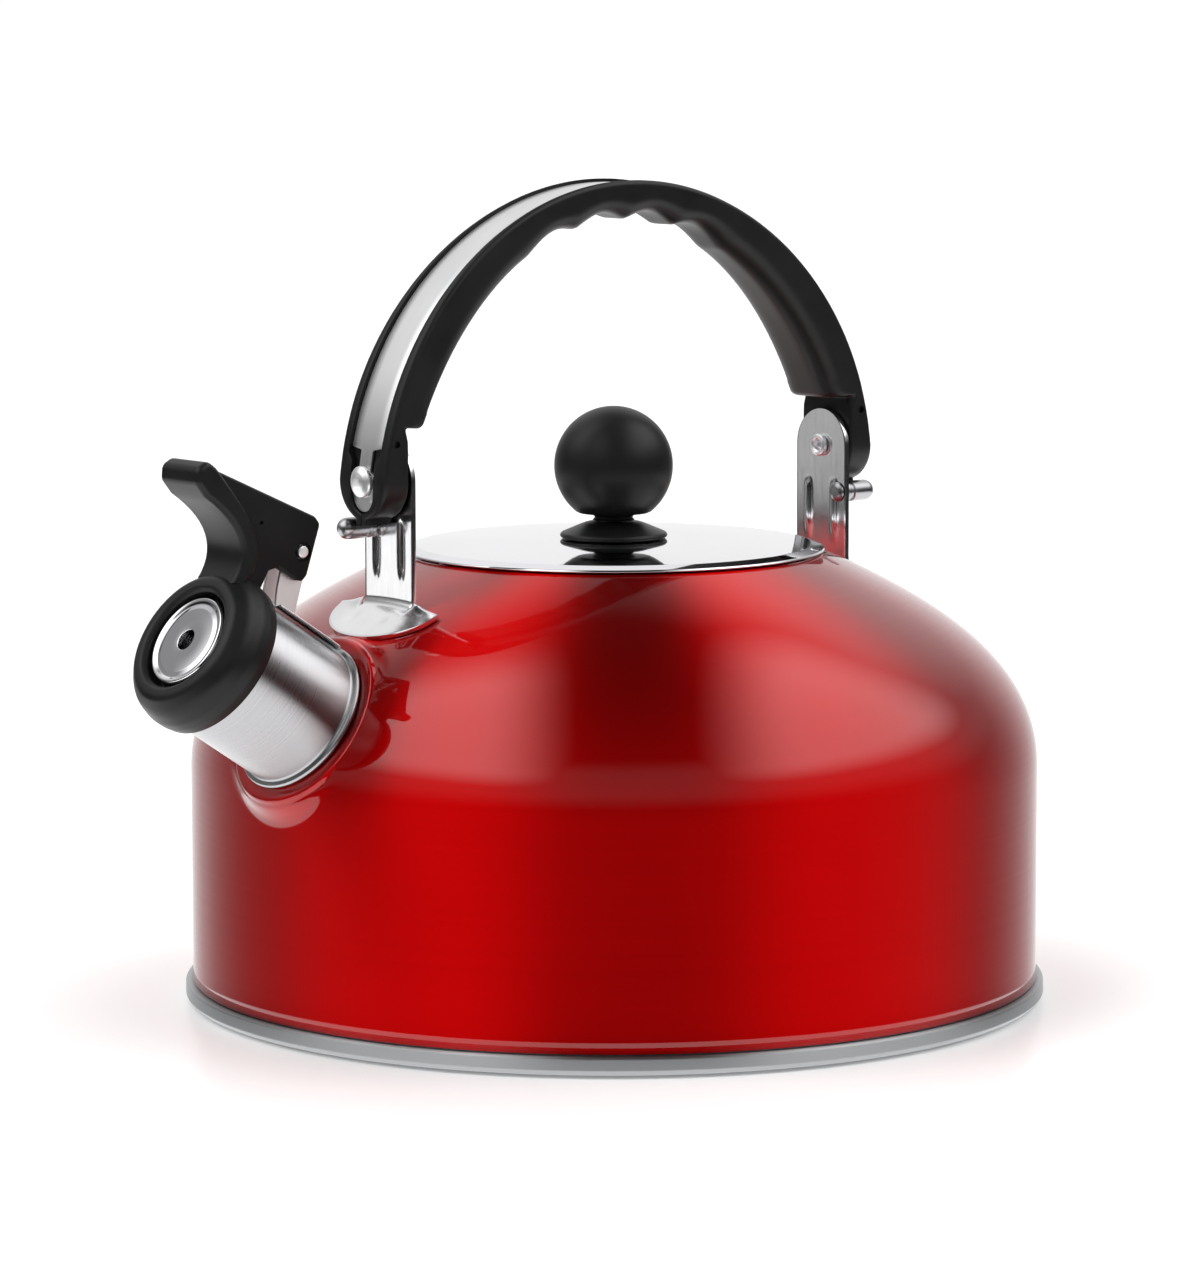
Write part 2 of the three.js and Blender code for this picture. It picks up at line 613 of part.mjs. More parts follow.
const spout = new THREE.Group();
spout.applyMatrix4(spoutMatrix());
kettle.add(spout);
place(spout, 'spout_tube', spoutTube(), BRUSHED);
place(spout, 'whistle_hinge_bracket', hingeBracket(), POLISHED);
place(spout, 'whistle_cap', whistleCap(), BAKELITE);
place(spout, 'whistle_front_disc', whistleFrontDisc(), POLISHED);
place(spout, 'whistle_rear_disc', whistleRearDisc(), POLISHED);
place(spout, 'whistle_hinge_pin', hingePin(), POLISHED);
place(spout, 'whistle_spring', hingeSpring(), SPRING_STEEL);

// The two brackets are the same piece, the front one turned half round.
for (const [end, turn] of [['rear', 0], ['front', Math.PI]]) {
  const side = new THREE.Group();
  side.rotation.z = turn;
  kettle.add(side);
  place(side, `bracket_${end}`, bracket(), POLISHED);
  place(side, `pivot_rivet_${end}`, pivotRivet(), POLISHED);
  place(side, `stop_stud_${end}`, stopStud(), POLISHED);
}

place(kettle, 'handle_grip', handleGrip(), BAKELITE);
place(kettle, 'handle_strip', handleStrip(), POLISHED);

place(kettle, 'lid_cover', lidCover(), POLISHED);
place(kettle, 'lid_skirt', lidSkirt(), BRUSHED);
place(kettle, 'knob_base', knobBase(), BAKELITE);
place(kettle, 'knob_ball', knobBall(), BAKELITE);
place(kettle, 'knob_screw', knobScrew(), POLISHED);
place(kettle, 'knob_washer', knobWasher(), POLISHED);

export default kettle;
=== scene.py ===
"""Stovetop whistling kettle: the looks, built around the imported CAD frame.

Blender's lengths are metres. The driving sizes below are millimetres, in the CAD frame: +Z up, the origin
under the base, the spout towards -X, the handle's arch in the XZ plane.
"""

import json
from math import acos, asin, atan2, cos, exp, hypot, pi, radians, sin, sqrt, tan

import bmesh
import bpy
import numpy as np
from mathutils import Matrix, Vector
from mathutils.geometry import delaunay_2d_cdt


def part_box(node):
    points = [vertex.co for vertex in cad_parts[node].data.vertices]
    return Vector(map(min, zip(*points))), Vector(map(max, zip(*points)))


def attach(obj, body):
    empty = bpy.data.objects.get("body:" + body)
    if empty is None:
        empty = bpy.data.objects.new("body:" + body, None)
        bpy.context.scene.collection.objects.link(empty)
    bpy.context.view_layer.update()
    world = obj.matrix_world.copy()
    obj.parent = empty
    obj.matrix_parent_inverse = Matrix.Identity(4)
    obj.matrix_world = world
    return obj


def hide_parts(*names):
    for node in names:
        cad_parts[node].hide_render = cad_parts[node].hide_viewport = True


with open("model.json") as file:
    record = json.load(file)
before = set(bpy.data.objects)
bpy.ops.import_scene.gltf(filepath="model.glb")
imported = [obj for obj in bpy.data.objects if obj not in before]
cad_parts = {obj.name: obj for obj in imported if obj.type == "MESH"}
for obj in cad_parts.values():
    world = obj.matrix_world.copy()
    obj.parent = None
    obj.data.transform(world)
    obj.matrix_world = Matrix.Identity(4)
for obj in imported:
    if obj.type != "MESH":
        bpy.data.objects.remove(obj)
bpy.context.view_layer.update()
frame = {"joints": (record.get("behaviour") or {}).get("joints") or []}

MM = 0.001


def corner(node, end):
    """The lowest (0) or highest (1) corner of a CAD node, in millimetres."""
    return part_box(node)[end] / MM


# ---- driving sizes ----
GAP = 0.3
SHEET = 0.6
WELD = 1e-7  # metres
BASE_R = corner("base_pan", 1).y
BASE_FLOOR = 3.5
CAPSULE_R = 100.2
DISC_R, DISC_LOW, DISC_HIGH = 99.0, 0.9, 3.2
BODY_R = 108.0
BODY_BOTTOM = corner("body_shell", 0).z
SHOULDER_Z = 60.0
MOUTH_R = 45.5
MOUTH_RIM_R = 54.0
MOUTH_Z = 113.6
DOME_SLOPE = radians(24)
DOME_LOWER_PULL, DOME_UPPER_PULL = 25.0, 33.0

SPOUT_TILT = radians(33)
SPOUT_FOOT = Vector((-99.3, 0, 80.2))
SPOUT_R = 18.0
SPOUT_MOUTH = 33.0
COLLAR_R = 23.0
SEAT_EDGE, SEAT_FOOT = 1.4, 4.4  # rounding of the pressed seat, and reach of its flare
PATCH_R = 28.0  # where the seat's own rings end
SEAT_RINGS = (18.3, 19, 20, 21, 21.7, 22.3, 22.65, 22.9, 23.1, 23.4, 23.9, 24.6, 25.4, 26.4, 27.2, PATCH_R)
SEAT_AROUND = 144

LID_R = corner("lid_cover", 1).x
LID_TOP = 117.2
LID_SEAT_R = 14.5
LID_BEND_R, LID_BEND_Z = 50.2, 116.0  # where the lid's dome turns down to its rim
BOLT_R = 2.4  # hole for the knob's screw
KNOB_FOOT_T = 4.1
KNOB_R = corner("knob_ball", 1).y
KNOB_Z = corner("knob_ball", 1).z - KNOB_R

PIVOT_X = corner("bracket_rear", 0).x
PIVOT_Z = next(j for j in frame["joints"] if j["name"] == "handle_fold")["pos_m"][2] / MM
STRAP_T = 1.2
STRAP_HALF = 9.5
STRAP_FOOT_Z = 112.0  # where the strap gives way to its fold
FOLD_R = 4.2
RIB_Y, RIB_WIDTH, RIB_DEPTH = 5.0, 0.95, 0.75
FOOT_REACH, FOOT_HALF = 12.5, 19.0
FOOT_LIFT, FOOT_LIFT_REACH = 0.9, 4.0  # the wings stand off the dome beside the fold
DIMPLE_X, DIMPLE_Y, DIMPLE_R, DIMPLE_DEPTH = 6.4, 7.0, 1.9, 0.22
RIVET_HEAD = 80.1
STUD_Y = 6.6
STUD_Z = PIVOT_Z - 12
STUD_R = 2.7
STUD_END = corner("stop_stud_rear", 1).x

ARCH_OUT = (81.0, 79.8, 128.5)  # half width, rise, height of its centre
ARCH_IN = (74.0, 88.0, 110.5)
LEG_INNER = 72.8
LEG_END, TAB_HALF = 10.6, 2.6  # the leg's lowest point under the pivot, and half its width there
GRIP_END_Z = 150.0
HANDLE_HALF_LEG, HANDLE_HALF_TOP = 9.5, 7.7
GROOVE_HALF, GROOVE_DEPTH = 6.5, 1.7
EYE_DROP = 3.2  # centre of the groove's round end under the pivot
SCALLOP_PITCH, SCALLOP_DEPTH = 16.0, 2.2
SCALLOP_REACH = 32.0  # four finger hollows, two on each side of the middle
STRIP_SINK, STRIP_T = 0.8, 0.6
STRIP_NECK, STRIP_EYE = 2.3, 4.2

PIN_ALONG, PIN_ABOVE = 24.8, 33.2
PIN_R, PIN_END = 1.5, 5.3
CAP_R = 20.4
WHISTLE_HOLE = 2.7

PANEL_LEVEL = 2.2
PANEL_EDGE = (15, 32)  # elevation over which the panels begin
PANEL_TAPER, TAPER_ARC = 0.55, (10, 135)  # the panels draw together on their way overhead
LEFT_PANEL = (0.14, 0.60)  # sideways reach over which each panel begins
RIGHT_PANEL = (0.33, 0.85)
LEFT_END, LEFT_FADE = (0.05, 0.42), 0.85  # backward reach over which each panel fades, and how far
RIGHT_END, RIGHT_FADE = (0.25, 0.70), 1.0
BEHIND = (104, 178)  # azimuth over which the white background begins
BEHIND_TURN = (20.0, 1.3)  # above this elevation it begins later, by degrees for each degree
BEHIND_LEVEL, BEHIND_CURVE = 0.95, 1.3
BEHIND_TOP = (42, 65)  # elevation over which it ends
TABLE_EDGE = (13, 17)  # depth below the horizon at which the white table begins
TABLE_LEVEL = 1.7
GLOW_FOOT = (1, 18)  # elevations over which a dim glow in front begins and ends
GLOW_TOP = (30, 45)
GLOW_LEVEL = 0.30
DARK_LEVEL = 0.02
FLOOR_LIFT = 1.0  # extra light for matt surfaces, so that the floor stays white
BACKDROP_LEVEL = 1.05  # what the camera itself sees

# name, direction towards the card, level, width and height (m), what it faces (mm), the pieces it lights
CARDS = (
    ("strap_card", (-0.62, 0.77, -0.12), 1.2, 0.14, 0.11, (-72, 0, 128),
     ("bracket_strap_front", "pivot_pin_front", "fold_stop_front")),
    ("rear_strap_card", (-0.62, 0.77, -0.06), 0.45, 0.16, 0.10, (71, 0, 152),
     ("bracket_strap_rear", "pivot_pin_rear", "fold_stop_rear")),
    ("ear_card", (0.63, -0.76, -0.10), 1.5, 0.14, 0.14, (-102, -3, 118),
     ("whistle_ear_near", "whistle_ear_far", "whistle_pin")),
    ("spout_card", (0.93, -0.20, 0.29), 1.5, 0.46, 0.20, (-116, 0, 96), ("spout_pipe", "whistle_saddle")))
CARD_DISTANCE = 0.42

CAMERA_AZIMUTH = radians(-39.83)  # from -Y towards +X
CAMERA_GROUND, CAMERA_HEIGHT = 1373.6, 268.6
CAMERA_YAW, CAMERA_PITCH, CAMERA_ROLL = radians(0.254), radians(7.366), radians(-0.128)
CAMERA_LENS = 152.6  # for a 36 mm long side


# ---- outlines ----
def unit(vector):
    return vector / np.linalg.norm(vector)


def rounded(points, steps=4):
    """An outline of (a, b) or (a, b, radius) points with its corners turned into arcs."""
    out = []
    for i, point in enumerate(points):
        here = np.array(point[:2], float)
        if len(point) < 3:
            out.append(tuple(here))
            continue
        back = np.array(points[i - 1][:2], float) - here
        ahead = np.array(points[(i + 1) % len(points)][:2], float) - here
        room = 0.49 * min(np.linalg.norm(back), np.linalg.norm(ahead))
        back, ahead = unit(back), unit(ahead)
        half = acos(max(-1, min(1, float(back @ ahead)))) / 2
        if half > radians(89.5):
            out.append(tuple(here))
            continue
        reach = min(point[2] / tan(half), room)
        radius = reach * tan(half)
        middle = here + unit(back + ahead) * radius / sin(half)
        start = here + back * reach - middle
        end = here + ahead * reach - middle
        first = atan2(start[1], start[0])
        turn = (atan2(end[1], end[0]) - first + pi) % (2 * pi) - pi
        out += arc(middle, radius, [first + turn * k / steps for k in range(steps + 1)])
    return out


def arc(centre, radius, angles):
    return [(centre[0] + radius * cos(a), centre[1] + radius * sin(a)) for a in angles]


def bezier(p0, p1, p2, p3, steps):
    out = []
    for k in range(steps + 1):
        t = k / steps
        w = ((1 - t) ** 3, 3 * t * (1 - t) ** 2, 3 * t * t * (1 - t), t ** 3)
        out.append(tuple(sum(w[i] * p[j] for i, p in enumerate((p0, p1, p2, p3))) for j in (0, 1)))
    return out


def smooth(t):
    t = min(1.0, max(0.0, t))
    return t * t * (3 - 2 * t)


def inward(outline, distance):
    """A closed outline moved towards its inside by a distance."""
    pts = np.array(outline, float)
    ahead = np.roll(pts, -1, 0) - pts
    area = float(np.sum(pts[:, 0] * np.roll(pts[:, 1], -1) - np.roll(pts[:, 0], -1) * pts[:, 1]))
    ahead /= np.maximum(np.linalg.norm(ahead, axis=1, keepdims=True), 1e-9)
    normal = np.stack([-ahead[:, 1], ahead[:, 0]], 1) * (1 if area > 0 else -1)
    mean = normal + np.roll(normal, 1, 0)
    mean /= np.maximum(np.linalg.norm(mean, axis=1, keepdims=True), 1e-9)
    stretch = np.maximum(np.sum(mean * normal, 1), 0.5)
    return [tuple(p) for p in pts + mean * (distance / stretch)[:, None]]


def within(point, loop):
    """Whether a point is inside a closed loop."""
    inside = False
    for (ax, ay), (bx, by) in zip(loop, loop[1:] + loop[:1]):
        if (ay > point[1]) != (by > point[1]) and point[0] < ax + (bx - ax) * (point[1] - ay) / (by - ay):
            inside = not inside
    return inside


# ---- meshes ----
def new_object(name, verts, faces):
    """A welded mesh object from sizes in millimetres."""
    mesh = bpy.data.meshes.new(name)
    mesh.from_pydata([tuple(c * MM for c in v) for v in verts], [], faces)
    edit = bmesh.new()
    edit.from_mesh(mesh)
    bmesh.ops.remove_doubles(edit, verts=edit.verts, dist=WELD)
    bmesh.ops.dissolve_degenerate(edit, edges=edit.edges, dist=WELD)
    bmesh.ops.recalc_face_normals(edit, faces=edit.faces)
    edit.to_mesh(mesh)
    edit.free()
    obj = bpy.data.objects.new(name, mesh)
    bpy.context.scene.collection.objects.link(obj)
    return obj


def piece(name, shape, look, body, *nodes, place=None, crease=35, lining=None):
    """A (verts, faces) shape becomes a named piece that rides a body and stands for CAD nodes."""
    obj = new_object(name, *shape)
    for made in [look, lining] if lining else [look]:
        obj.data.materials.append(made.material)
    soften(obj, crease)
    if place is not None:
        obj.matrix_world = place
    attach(obj, body)
    if nodes:
        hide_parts(*nodes)
    return obj


def soften(obj, crease):
    obj.data.polygons.foreach_set("use_smooth", [True] * len(obj.data.polygons))
    obj.data.set_sharp_from_angle(angle=radians(crease))


def modify(obj, kind, **settings):
    modifier = obj.modifiers.new(kind.title(), kind)
    for key, value in settings.items():
        setattr(modifier, key, value)


def even_faces(obj):
    """Lets the large faces of a plate keep flat shading next to their rounded edges."""
    modify(obj, "WEIGHTED_NORMAL", keep_sharp=True)


def carve(obj, crease, *tools):
    """Cuts tool shapes out of a piece and applies the cuts."""
    for shape in tools:
        tool = new_object("tool", *shape)
        tool.matrix_world = obj.matrix_world
        bpy.context.view_layer.update()
        modify(obj, "BOOLEAN", operation="DIFFERENCE", solver="EXACT", object=tool)
        graph = bpy.context.evaluated_depsgraph_get()
        made = bpy.data.meshes.new_from_object(obj.evaluated_get(graph))
        obj.modifiers.clear()
        old, obj.data = obj.data, made
        bpy.data.meshes.remove(old)
        bpy.data.meshes.remove(tool.data)
    soften(obj, crease)


def grid_faces(rows, columns, wrap=False, start=0):
    """Quads over a grid of vertices numbered row by row."""
    faces = []
    for i in range(rows - 1):
        low, high = start + i * columns, start + (i + 1) * columns
        for j in range(columns if wrap else columns - 1):
            n = (j + 1) % columns
            faces.append([low + j, low + n, high + n, high + j])
    return faces


def tube(sections):
    """A shape through a row of closed sections with as many points each, its ends filled."""
    rows, count = len(sections), len(sections[0])
    ends = [list(range(count)), [(rows - 1) * count + k for k in range(count)]]
    return [p for section in sections for p in section], grid_faces(rows, count, wrap=True) + ends


def turned(outline, facets):
    """A shape turned about +Z from (radius, z) points; open only where it meets the axis."""
    verts, rings, faces = [], [], []
    for r, z in outline:
        if r < 1e-6:
            rings.append([len(verts)] * facets)
            verts.append((0, 0, z))
            continue
        rings.append(list(range(len(verts), len(verts) + facets)))
        for k in range(facets):
            angle = 2 * pi * k / facets
            verts.append((r * cos(angle), r * sin(angle), z))
    for low, high in zip(rings, rings[1:] + rings[:1]):
        for k in range(facets):
            n = (k + 1) % facets
            face = list(dict.fromkeys((low[k], low[n], high[n], high[k])))
            if len(face) > 2:
                faces.append(face)
    return verts, faces


def along_x(shape, y, z):
    """A shape about +Z laid along +X at a given y and z."""
    return [(c, a + y, b + z) for a, b, c in shape[0]], shape[1]


def along_y(shape, x, z):
    return [(a + x, c, b + z) for a, b, c in shape[0]], shape[1]


def rod(r, low, high, x, z, facets=48):
    """A plain rod along Y, used to cut holes."""
    return along_y(turned([(0, low), (r, low), (r, high), (0, high)], facets), x, z)


def plate(outline, low, high, edge, steps=3):
    """A closed outline (a, b) with its thickness along c from low to high, and rounded edges."""
    rings = []
    for k in range(steps + 1):
        angle = pi / 2 * k / steps
        rings.append((edge * (1 - sin(angle)), low + edge * (1 - cos(angle))))
    rings += [(inset, low + high - c) for inset, c in reversed(rings)]
    verts, faces = tube([[(a, b, c) for a, b in (inward(outline, inset) if inset > 1e-6 else outline)]
                         for inset, c in rings])
    faces[-2].reverse()
    return verts, faces


def upright(*plate_settings):
    """A plate whose thickness lies along Y."""
    return along_y(plate(*plate_settings), 0, 0)


# ---- materials ----
class Nodes:
    """Short calls for the nodes of a tree."""

    def __init__(self, tree):
        self.tree = tree

    def node(self, kind, *inputs, **settings):
        """A new node with its first inputs set to constants or wired to sockets."""
        made = self.tree.nodes.new(kind)
        for key, value in settings.items():
            setattr(made, key, value)
        for socket, value in zip(made.inputs, inputs):
            self.feed(socket, value)
        return made

    def feed(self, socket, value):
        if isinstance(value, (int, float, tuple)):
            socket.default_value = value
        else:
            self.tree.links.new(value, socket)

    def math(self, operation, *inputs):
        return self.node("ShaderNodeMath", *inputs, operation=operation).outputs[0]

    def times(self, a, b):
        return self.math("MULTIPLY", a, b)

    def plus(self, a, b):
        return self.math("ADD", a, b)

    def most(self, a, b):
        return self.math("MAXIMUM", a, b)

    def ramp(self, value, start, end, low=0.0, high=1.0, **settings):
        """Maps start..end to low..high, and holds those ends beyond them."""
        return self.node("ShaderNodeMapRange", value, start, end, low, high, **settings).outputs["Result"]


class Look(Nodes):
    """A node material and the slot of the pieces that wear it."""

    def __init__(self, name, slot, **sockets):
        self.slot = slot
        self.material = bpy.data.materials.new(name)
        self.material.use_nodes = True
        super().__init__(self.material.node_tree)
        self.shader = self.tree.nodes["Principled BSDF"]
        for socket, value in sockets.items():
            self.shader.inputs[socket.replace("_", " ")].default_value = value
        self.place = self.node("ShaderNodeTexCoord").outputs["Object"]

    def stretched(self, scale):
        """Object coordinates scaled by a vector."""
        made = self.node("ShaderNodeMapping", self.place)
        made.inputs["Scale"].default_value = scale
        return made.outputs["Vector"]

    def rings(self, scale):
        """Coordinates that change only with the distance from the local Z axis and along it."""
        split = self.node("ShaderNodeSeparateXYZ", self.place)
        flat = self.node("ShaderNodeVectorMath", self.place, (1, 1, 0), operation="MULTIPLY")
        length = self.node("ShaderNodeVectorMath", flat.outputs[0], operation="LENGTH")
        return self.node("ShaderNodeCombineXYZ", self.times(length.outputs["Value"], scale), 0.0,
                         self.times(split.outputs[2], scale)).outputs[0]

    def noise(self, vector, scale, detail=3.0, roughness=0.5):
        made = self.node("ShaderNodeTexNoise", vector)
        for socket, value in (("Scale", scale), ("Detail", detail), ("Roughness", roughness)):
            made.inputs[socket].default_value = value
        return made.outputs["Fac"]

    def spread(self, value, low, high):
        """Maps a noise value from its usual range to low..high."""
        return self.ramp(value, 0.3, 0.7, low, high)

    def colour(self, value, low, high):
        made = self.node("ShaderNodeMix", data_type="RGBA")
        self.feed(made.inputs["Factor"], self.spread(value, 0, 1))
        made.inputs["A"].default_value = (*low, 1)
        made.inputs["B"].default_value = (*high, 1)
        self.tree.links.new(made.outputs["Result"], self.shader.inputs["Base Color"])

    def rough(self, value, low, high):
        self.feed(self.shader.inputs["Roughness"], self.spread(value, low, high))

    def bump(self, value, depth, strength, target="Normal"):
        made = self.node("ShaderNodeBump")
        for socket, given in (("Strength", strength), ("Distance", depth * MM), ("Height", value)):
            self.feed(made.inputs[socket], given)
        self.feed(self.shader.inputs[target], made.outputs[0])

    def grain(self):
        """The brushing direction runs around the local Z axis."""
        made = self.node("ShaderNodeTangent", direction_type="RADIAL", axis="Z")
        self.feed(self.shader.inputs["Tangent"], made.outputs[0])


def grey(level, blue=0.0):
    return (level, level, level + blue)


def lacquer():
    """Clear red lacquer over steel that was brushed around the body."""
    look = Look("red_lacquer", "lacquer", Metallic=1.0, Coat_Weight=1.0, Coat_Roughness=0.03, Coat_IOR=1.5,
                Anisotropic=1.0, Anisotropic_Rotation=0.25)
    look.colour(look.noise(look.place, 22, 2), (0.72, 0.0008, 0.0016), (0.77, 0.0010, 0.0022))
    look.rough(look.noise(look.rings(900), 1, 4), 0.53, 0.57)
    look.bump(look.noise(look.place, 160, 2), 0.004, 0.25, "Coat Normal")
    look.grain()
    return look


def turned_steel(name, slot, tone, low, high, anisotropy, lines=1400, depth=0.004):
    """Steel with fine turning lines about the local Z axis."""
    look = Look(name, slot, Metallic=1.0, Anisotropic=anisotropy, Anisotropic_Rotation=0.25)
    line = look.noise(look.rings(lines), 1, 5, 0.6)
    cloud = look.noise(look.place, 35, 3)
    look.colour(cloud, tuple(c * 0.95 for c in tone), tone)
    look.rough(look.plus(look.times(line, 0.7), look.times(cloud, 0.3)), low, high)
    look.bump(line, depth, 0.5)
    look.grain()
    return look


def waved_steel(name, scratches, waves, dark, bright, low, high, share, depth, strength):
    """Barrelled steel: a shine broken by faint scratches and a slow wave."""
    look = Look(name, "polished_steel", Metallic=1.0)
    scratch = look.noise(look.stretched(scratches), 1, 4, 0.65)
    wave = look.noise(look.place, waves, 2)
    look.colour(wave, grey(dark, 0.01), grey(bright, 0.01))
    look.rough(scratch, low, high)
    look.bump(look.plus(wave, look.times(scratch, share)), depth, strength)
    return look


def plated_steel(name, tone, low, high):
    """Small turned and pressed fittings with a dull bright plating."""
    look = Look(name, "polished_steel", Metallic=1.0)
    wave = look.noise(look.place, 150, 3)
    look.colour(wave, tuple(c * 0.93 for c in tone), tone)
    look.rough(wave, low, high)
    look.bump(look.noise(look.place, 900, 3), 0.012, 0.4)
    return look


def drawn_metal(name, slot, lines, roughness, dark, bright, low, high, depth, strength, clouded=False):
    """Metal with the lines of drawing or rolling, or with an even grain."""
    look = Look(name, slot, Metallic=1.0)
    line = look.noise(look.stretched(lines), 1, 4, roughness)
    look.colour(look.noise(look.place, 40, 2) if clouded else line, grey(dark, 0.01), grey(bright, 0.01))
    look.rough(line, low, high)
    look.bump(line, depth, strength)
    return look


def bakelite():
    """Moulded phenolic resin with a satin skin, a fine grain and a slightly cloudy gloss."""
    look = Look("bakelite", "bakelite", Specular_IOR_Level=0.28)
    grain = look.noise(look.place, 3200, 3, 0.6)
    cloud = look.noise(look.place, 55, 4)
    look.colour(cloud, (0.0065, 0.0067, 0.0067), (0.0095, 0.0098, 0.0098))
    look.rough(cloud, 0.36, 0.47)
    look.bump(look.plus(look.times(grain, 0.5), cloud), 0.03, 0.35)
    return look


LACQUER = lacquer()
BASE_STEEL = turned_steel("base_steel", "brushed_steel", (0.42, 0.43, 0.44), 0.34, 0.46, 1.0)
SPOUT_STEEL = turned_steel("spout_steel", "brushed_steel", (0.43, 0.43, 0.44), 0.24, 0.34, 0.8)
LID_STEEL = turned_steel("lid_steel", "polished_steel", (0.82, 0.815, 0.84), 0.03, 0.06, 0.0, 700, 0.001)
INNER_STEEL = turned_steel("inner_steel", "brushed_steel", (0.60, 0.60, 0.60), 0.28, 0.42, 0.4)
POLISHED = waved_steel("polished_steel", (90, 2600, 700), 120, 0.80, 0.86, 0.07, 0.15, 0.06, 0.02, 0.35)
PRESSED = waved_steel("pressed_steel", (700, 900, 120), 90, 0.78, 0.85, 0.12, 0.19, 0.05, 0.03, 0.4)
RIVETED = plated_steel("rivet_plating", grey(0.94, 0.01), 0.36, 0.46)
STUDDED = plated_steel("stud_plating", grey(0.42, 0.01), 0.26, 0.36)
HINGED = plated_steel("hinge_plating", grey(0.95), 0.42, 0.52)
STRIP = drawn_metal("strip_steel", "polished_steel", (60, 3000, 60), 0.6, 0.80, 0.86, 0.38, 0.46, 0.004, 0.4,
                    clouded=True)
BAKELITE = bakelite()
ALUMINIUM = drawn_metal("rolled_aluminium", "aluminium", (40, 1500, 400), 0.5, 0.68, 0.76, 0.38, 0.52, 0.01,
                        0.4)
SPRING = drawn_metal("spring_steel", "spring_steel", (1800,) * 3, 0.5, 0.42, 0.55, 0.25, 0.4, 0.01, 0.3)

# ---- body ----
SPOUT_ALONG = Vector((-cos(SPOUT_TILT), 0, sin(SPOUT_TILT)))
SPOUT_ABOVE = Vector((sin(SPOUT_TILT), 0, cos(SPOUT_TILT)))
SPOUT_MM = Matrix.Translation(SPOUT_FOOT) @ Matrix(
    (SPOUT_ABOVE, (0, 1, 0), SPOUT_ALONG)).transposed().to_4x4()
SPOUT_PLACE = Matrix.Translation(SPOUT_FOOT * MM) @ SPOUT_MM.to_3x3().to_4x4()


def dome_line(steps=60):
    """Outside of the dome from the straight wall to the mouth."""
    upper = (MOUTH_RIM_R + DOME_UPPER_PULL * cos(DOME_SLOPE),
             MOUTH_Z - DOME_UPPER_PULL * sin(DOME_SLOPE))
    return bezier((BODY_R, SHOULDER_Z), (BODY_R, SHOULDER_Z + DOME_LOWER_PULL), upper,
                  (MOUTH_RIM_R, MOUTH_Z), steps)


DOME = np.array(dome_line())


def dome_height(r):
    """Height of the dome's outside at a distance from the axis."""
    return float(np.interp(r, DOME[::-1, 0], DOME[::-1, 1]))


def above_dome(x, y):
    """Height at which sheet lies on the dome."""
    return dome_height(hypot(x, y)) + GAP


def dome_slope(r):
    """Angle of the dome's fall outwards, below the horizontal."""
    return atan2(dome_height(r - 0.5) - dome_height(r + 0.5), 1.0)


def wall_profile():
    """(radius, z) of the body's outside from its foot to the turned-in edge of the mouth."""
    straight = [(BODY_R, z) for z in np.linspace(BODY_BOTTOM, SHOULDER_Z, 20)[:-1]]
    flat = MOUTH_Z + 0.3
    rim = [dome_line()[-4], (MOUTH_RIM_R - 0.6, flat, 3.0), (MOUTH_R, flat, 1.4), (MOUTH_R, 108)]
    return straight + dome_line()[:-4] + rounded(rim, steps=6)


def on_spout(*settings, crease=35):
    """A piece whose own frame is the spout's."""
    return piece(*settings, place=SPOUT_PLACE, crease=crease)


def from_spout(shape):
    """A shape of the spout's own frame, moved to the kettle's."""
    return [tuple(SPOUT_MM @ Vector(v)) for v in shape[0]], shape[1]


def spout_point(above, side, along):
    return SPOUT_FOOT + SPOUT_ABOVE * above + Vector((0, side, 0)) + SPOUT_ALONG * along


def from_spout_axis(point):
    """How far a point is from the spout's axis, and how far along it."""
    offset = Vector(point) - SPOUT_FOOT
    return hypot(offset.dot(SPOUT_ABOVE), offset.y), offset.dot(SPOUT_ALONG)


def wall_along(above, side):
    """How far along the spout's axis the plain wall lies under a point beside that axis."""
    low, high = -40.0, 25.0
    for _ in range(40):
        middle = (low + high) / 2
        p = spout_point(above, side, middle)
        r = hypot(p.x, p.y)
        if r > BODY_R or p.z > dome_height(r):
            high = middle
        else:
            low = middle
    return (low + high) / 2


def seat_point(radius, angle):
    """A point of the seat around the spout: flat, then a rounded edge, then down to the wall."""
    above, side = radius * cos(angle), radius * sin(angle)
    low_edge = -GAP - SEAT_EDGE
    if radius <= COLLAR_R - SEAT_EDGE:
        seat = -GAP
    elif radius < COLLAR_R:
        seat = low_edge + sqrt(SEAT_EDGE ** 2 - (radius - COLLAR_R + SEAT_EDGE) ** 2)
    else:
        seat = wall_along(above, side)
        if seat < low_edge:
            seat += (low_edge - seat) * smooth(1 - (radius - COLLAR_R) / SEAT_FOOT) ** 3
    return tuple(spout_point(above, side, seat))


def unroller(profile):
    """A function from a point of the wall to its place on the wall laid flat."""
    line = np.array(profile)
    lengths = np.concatenate([[0], np.cumsum(np.hypot(*np.diff(line, axis=0).T))])

    def unrolled(point):
        here = np.array((hypot(point[0], point[1]), point[2]))
        nearest = int(np.argmin(np.sum((line - here) ** 2, axis=1)))
        best = lengths[nearest]
        for j in (nearest - 1, nearest):
            if 0 <= j < len(line) - 1:
                span = line[j + 1] - line[j]
                t = float(np.dot(here - line[j], span) / np.dot(span, span))
                if 0 <= t <= 1:
                    best = lengths[j] + t * (lengths[j + 1] - lengths[j])
        return atan2(-point[1], -point[0]) * BODY_R, best

    return unrolled


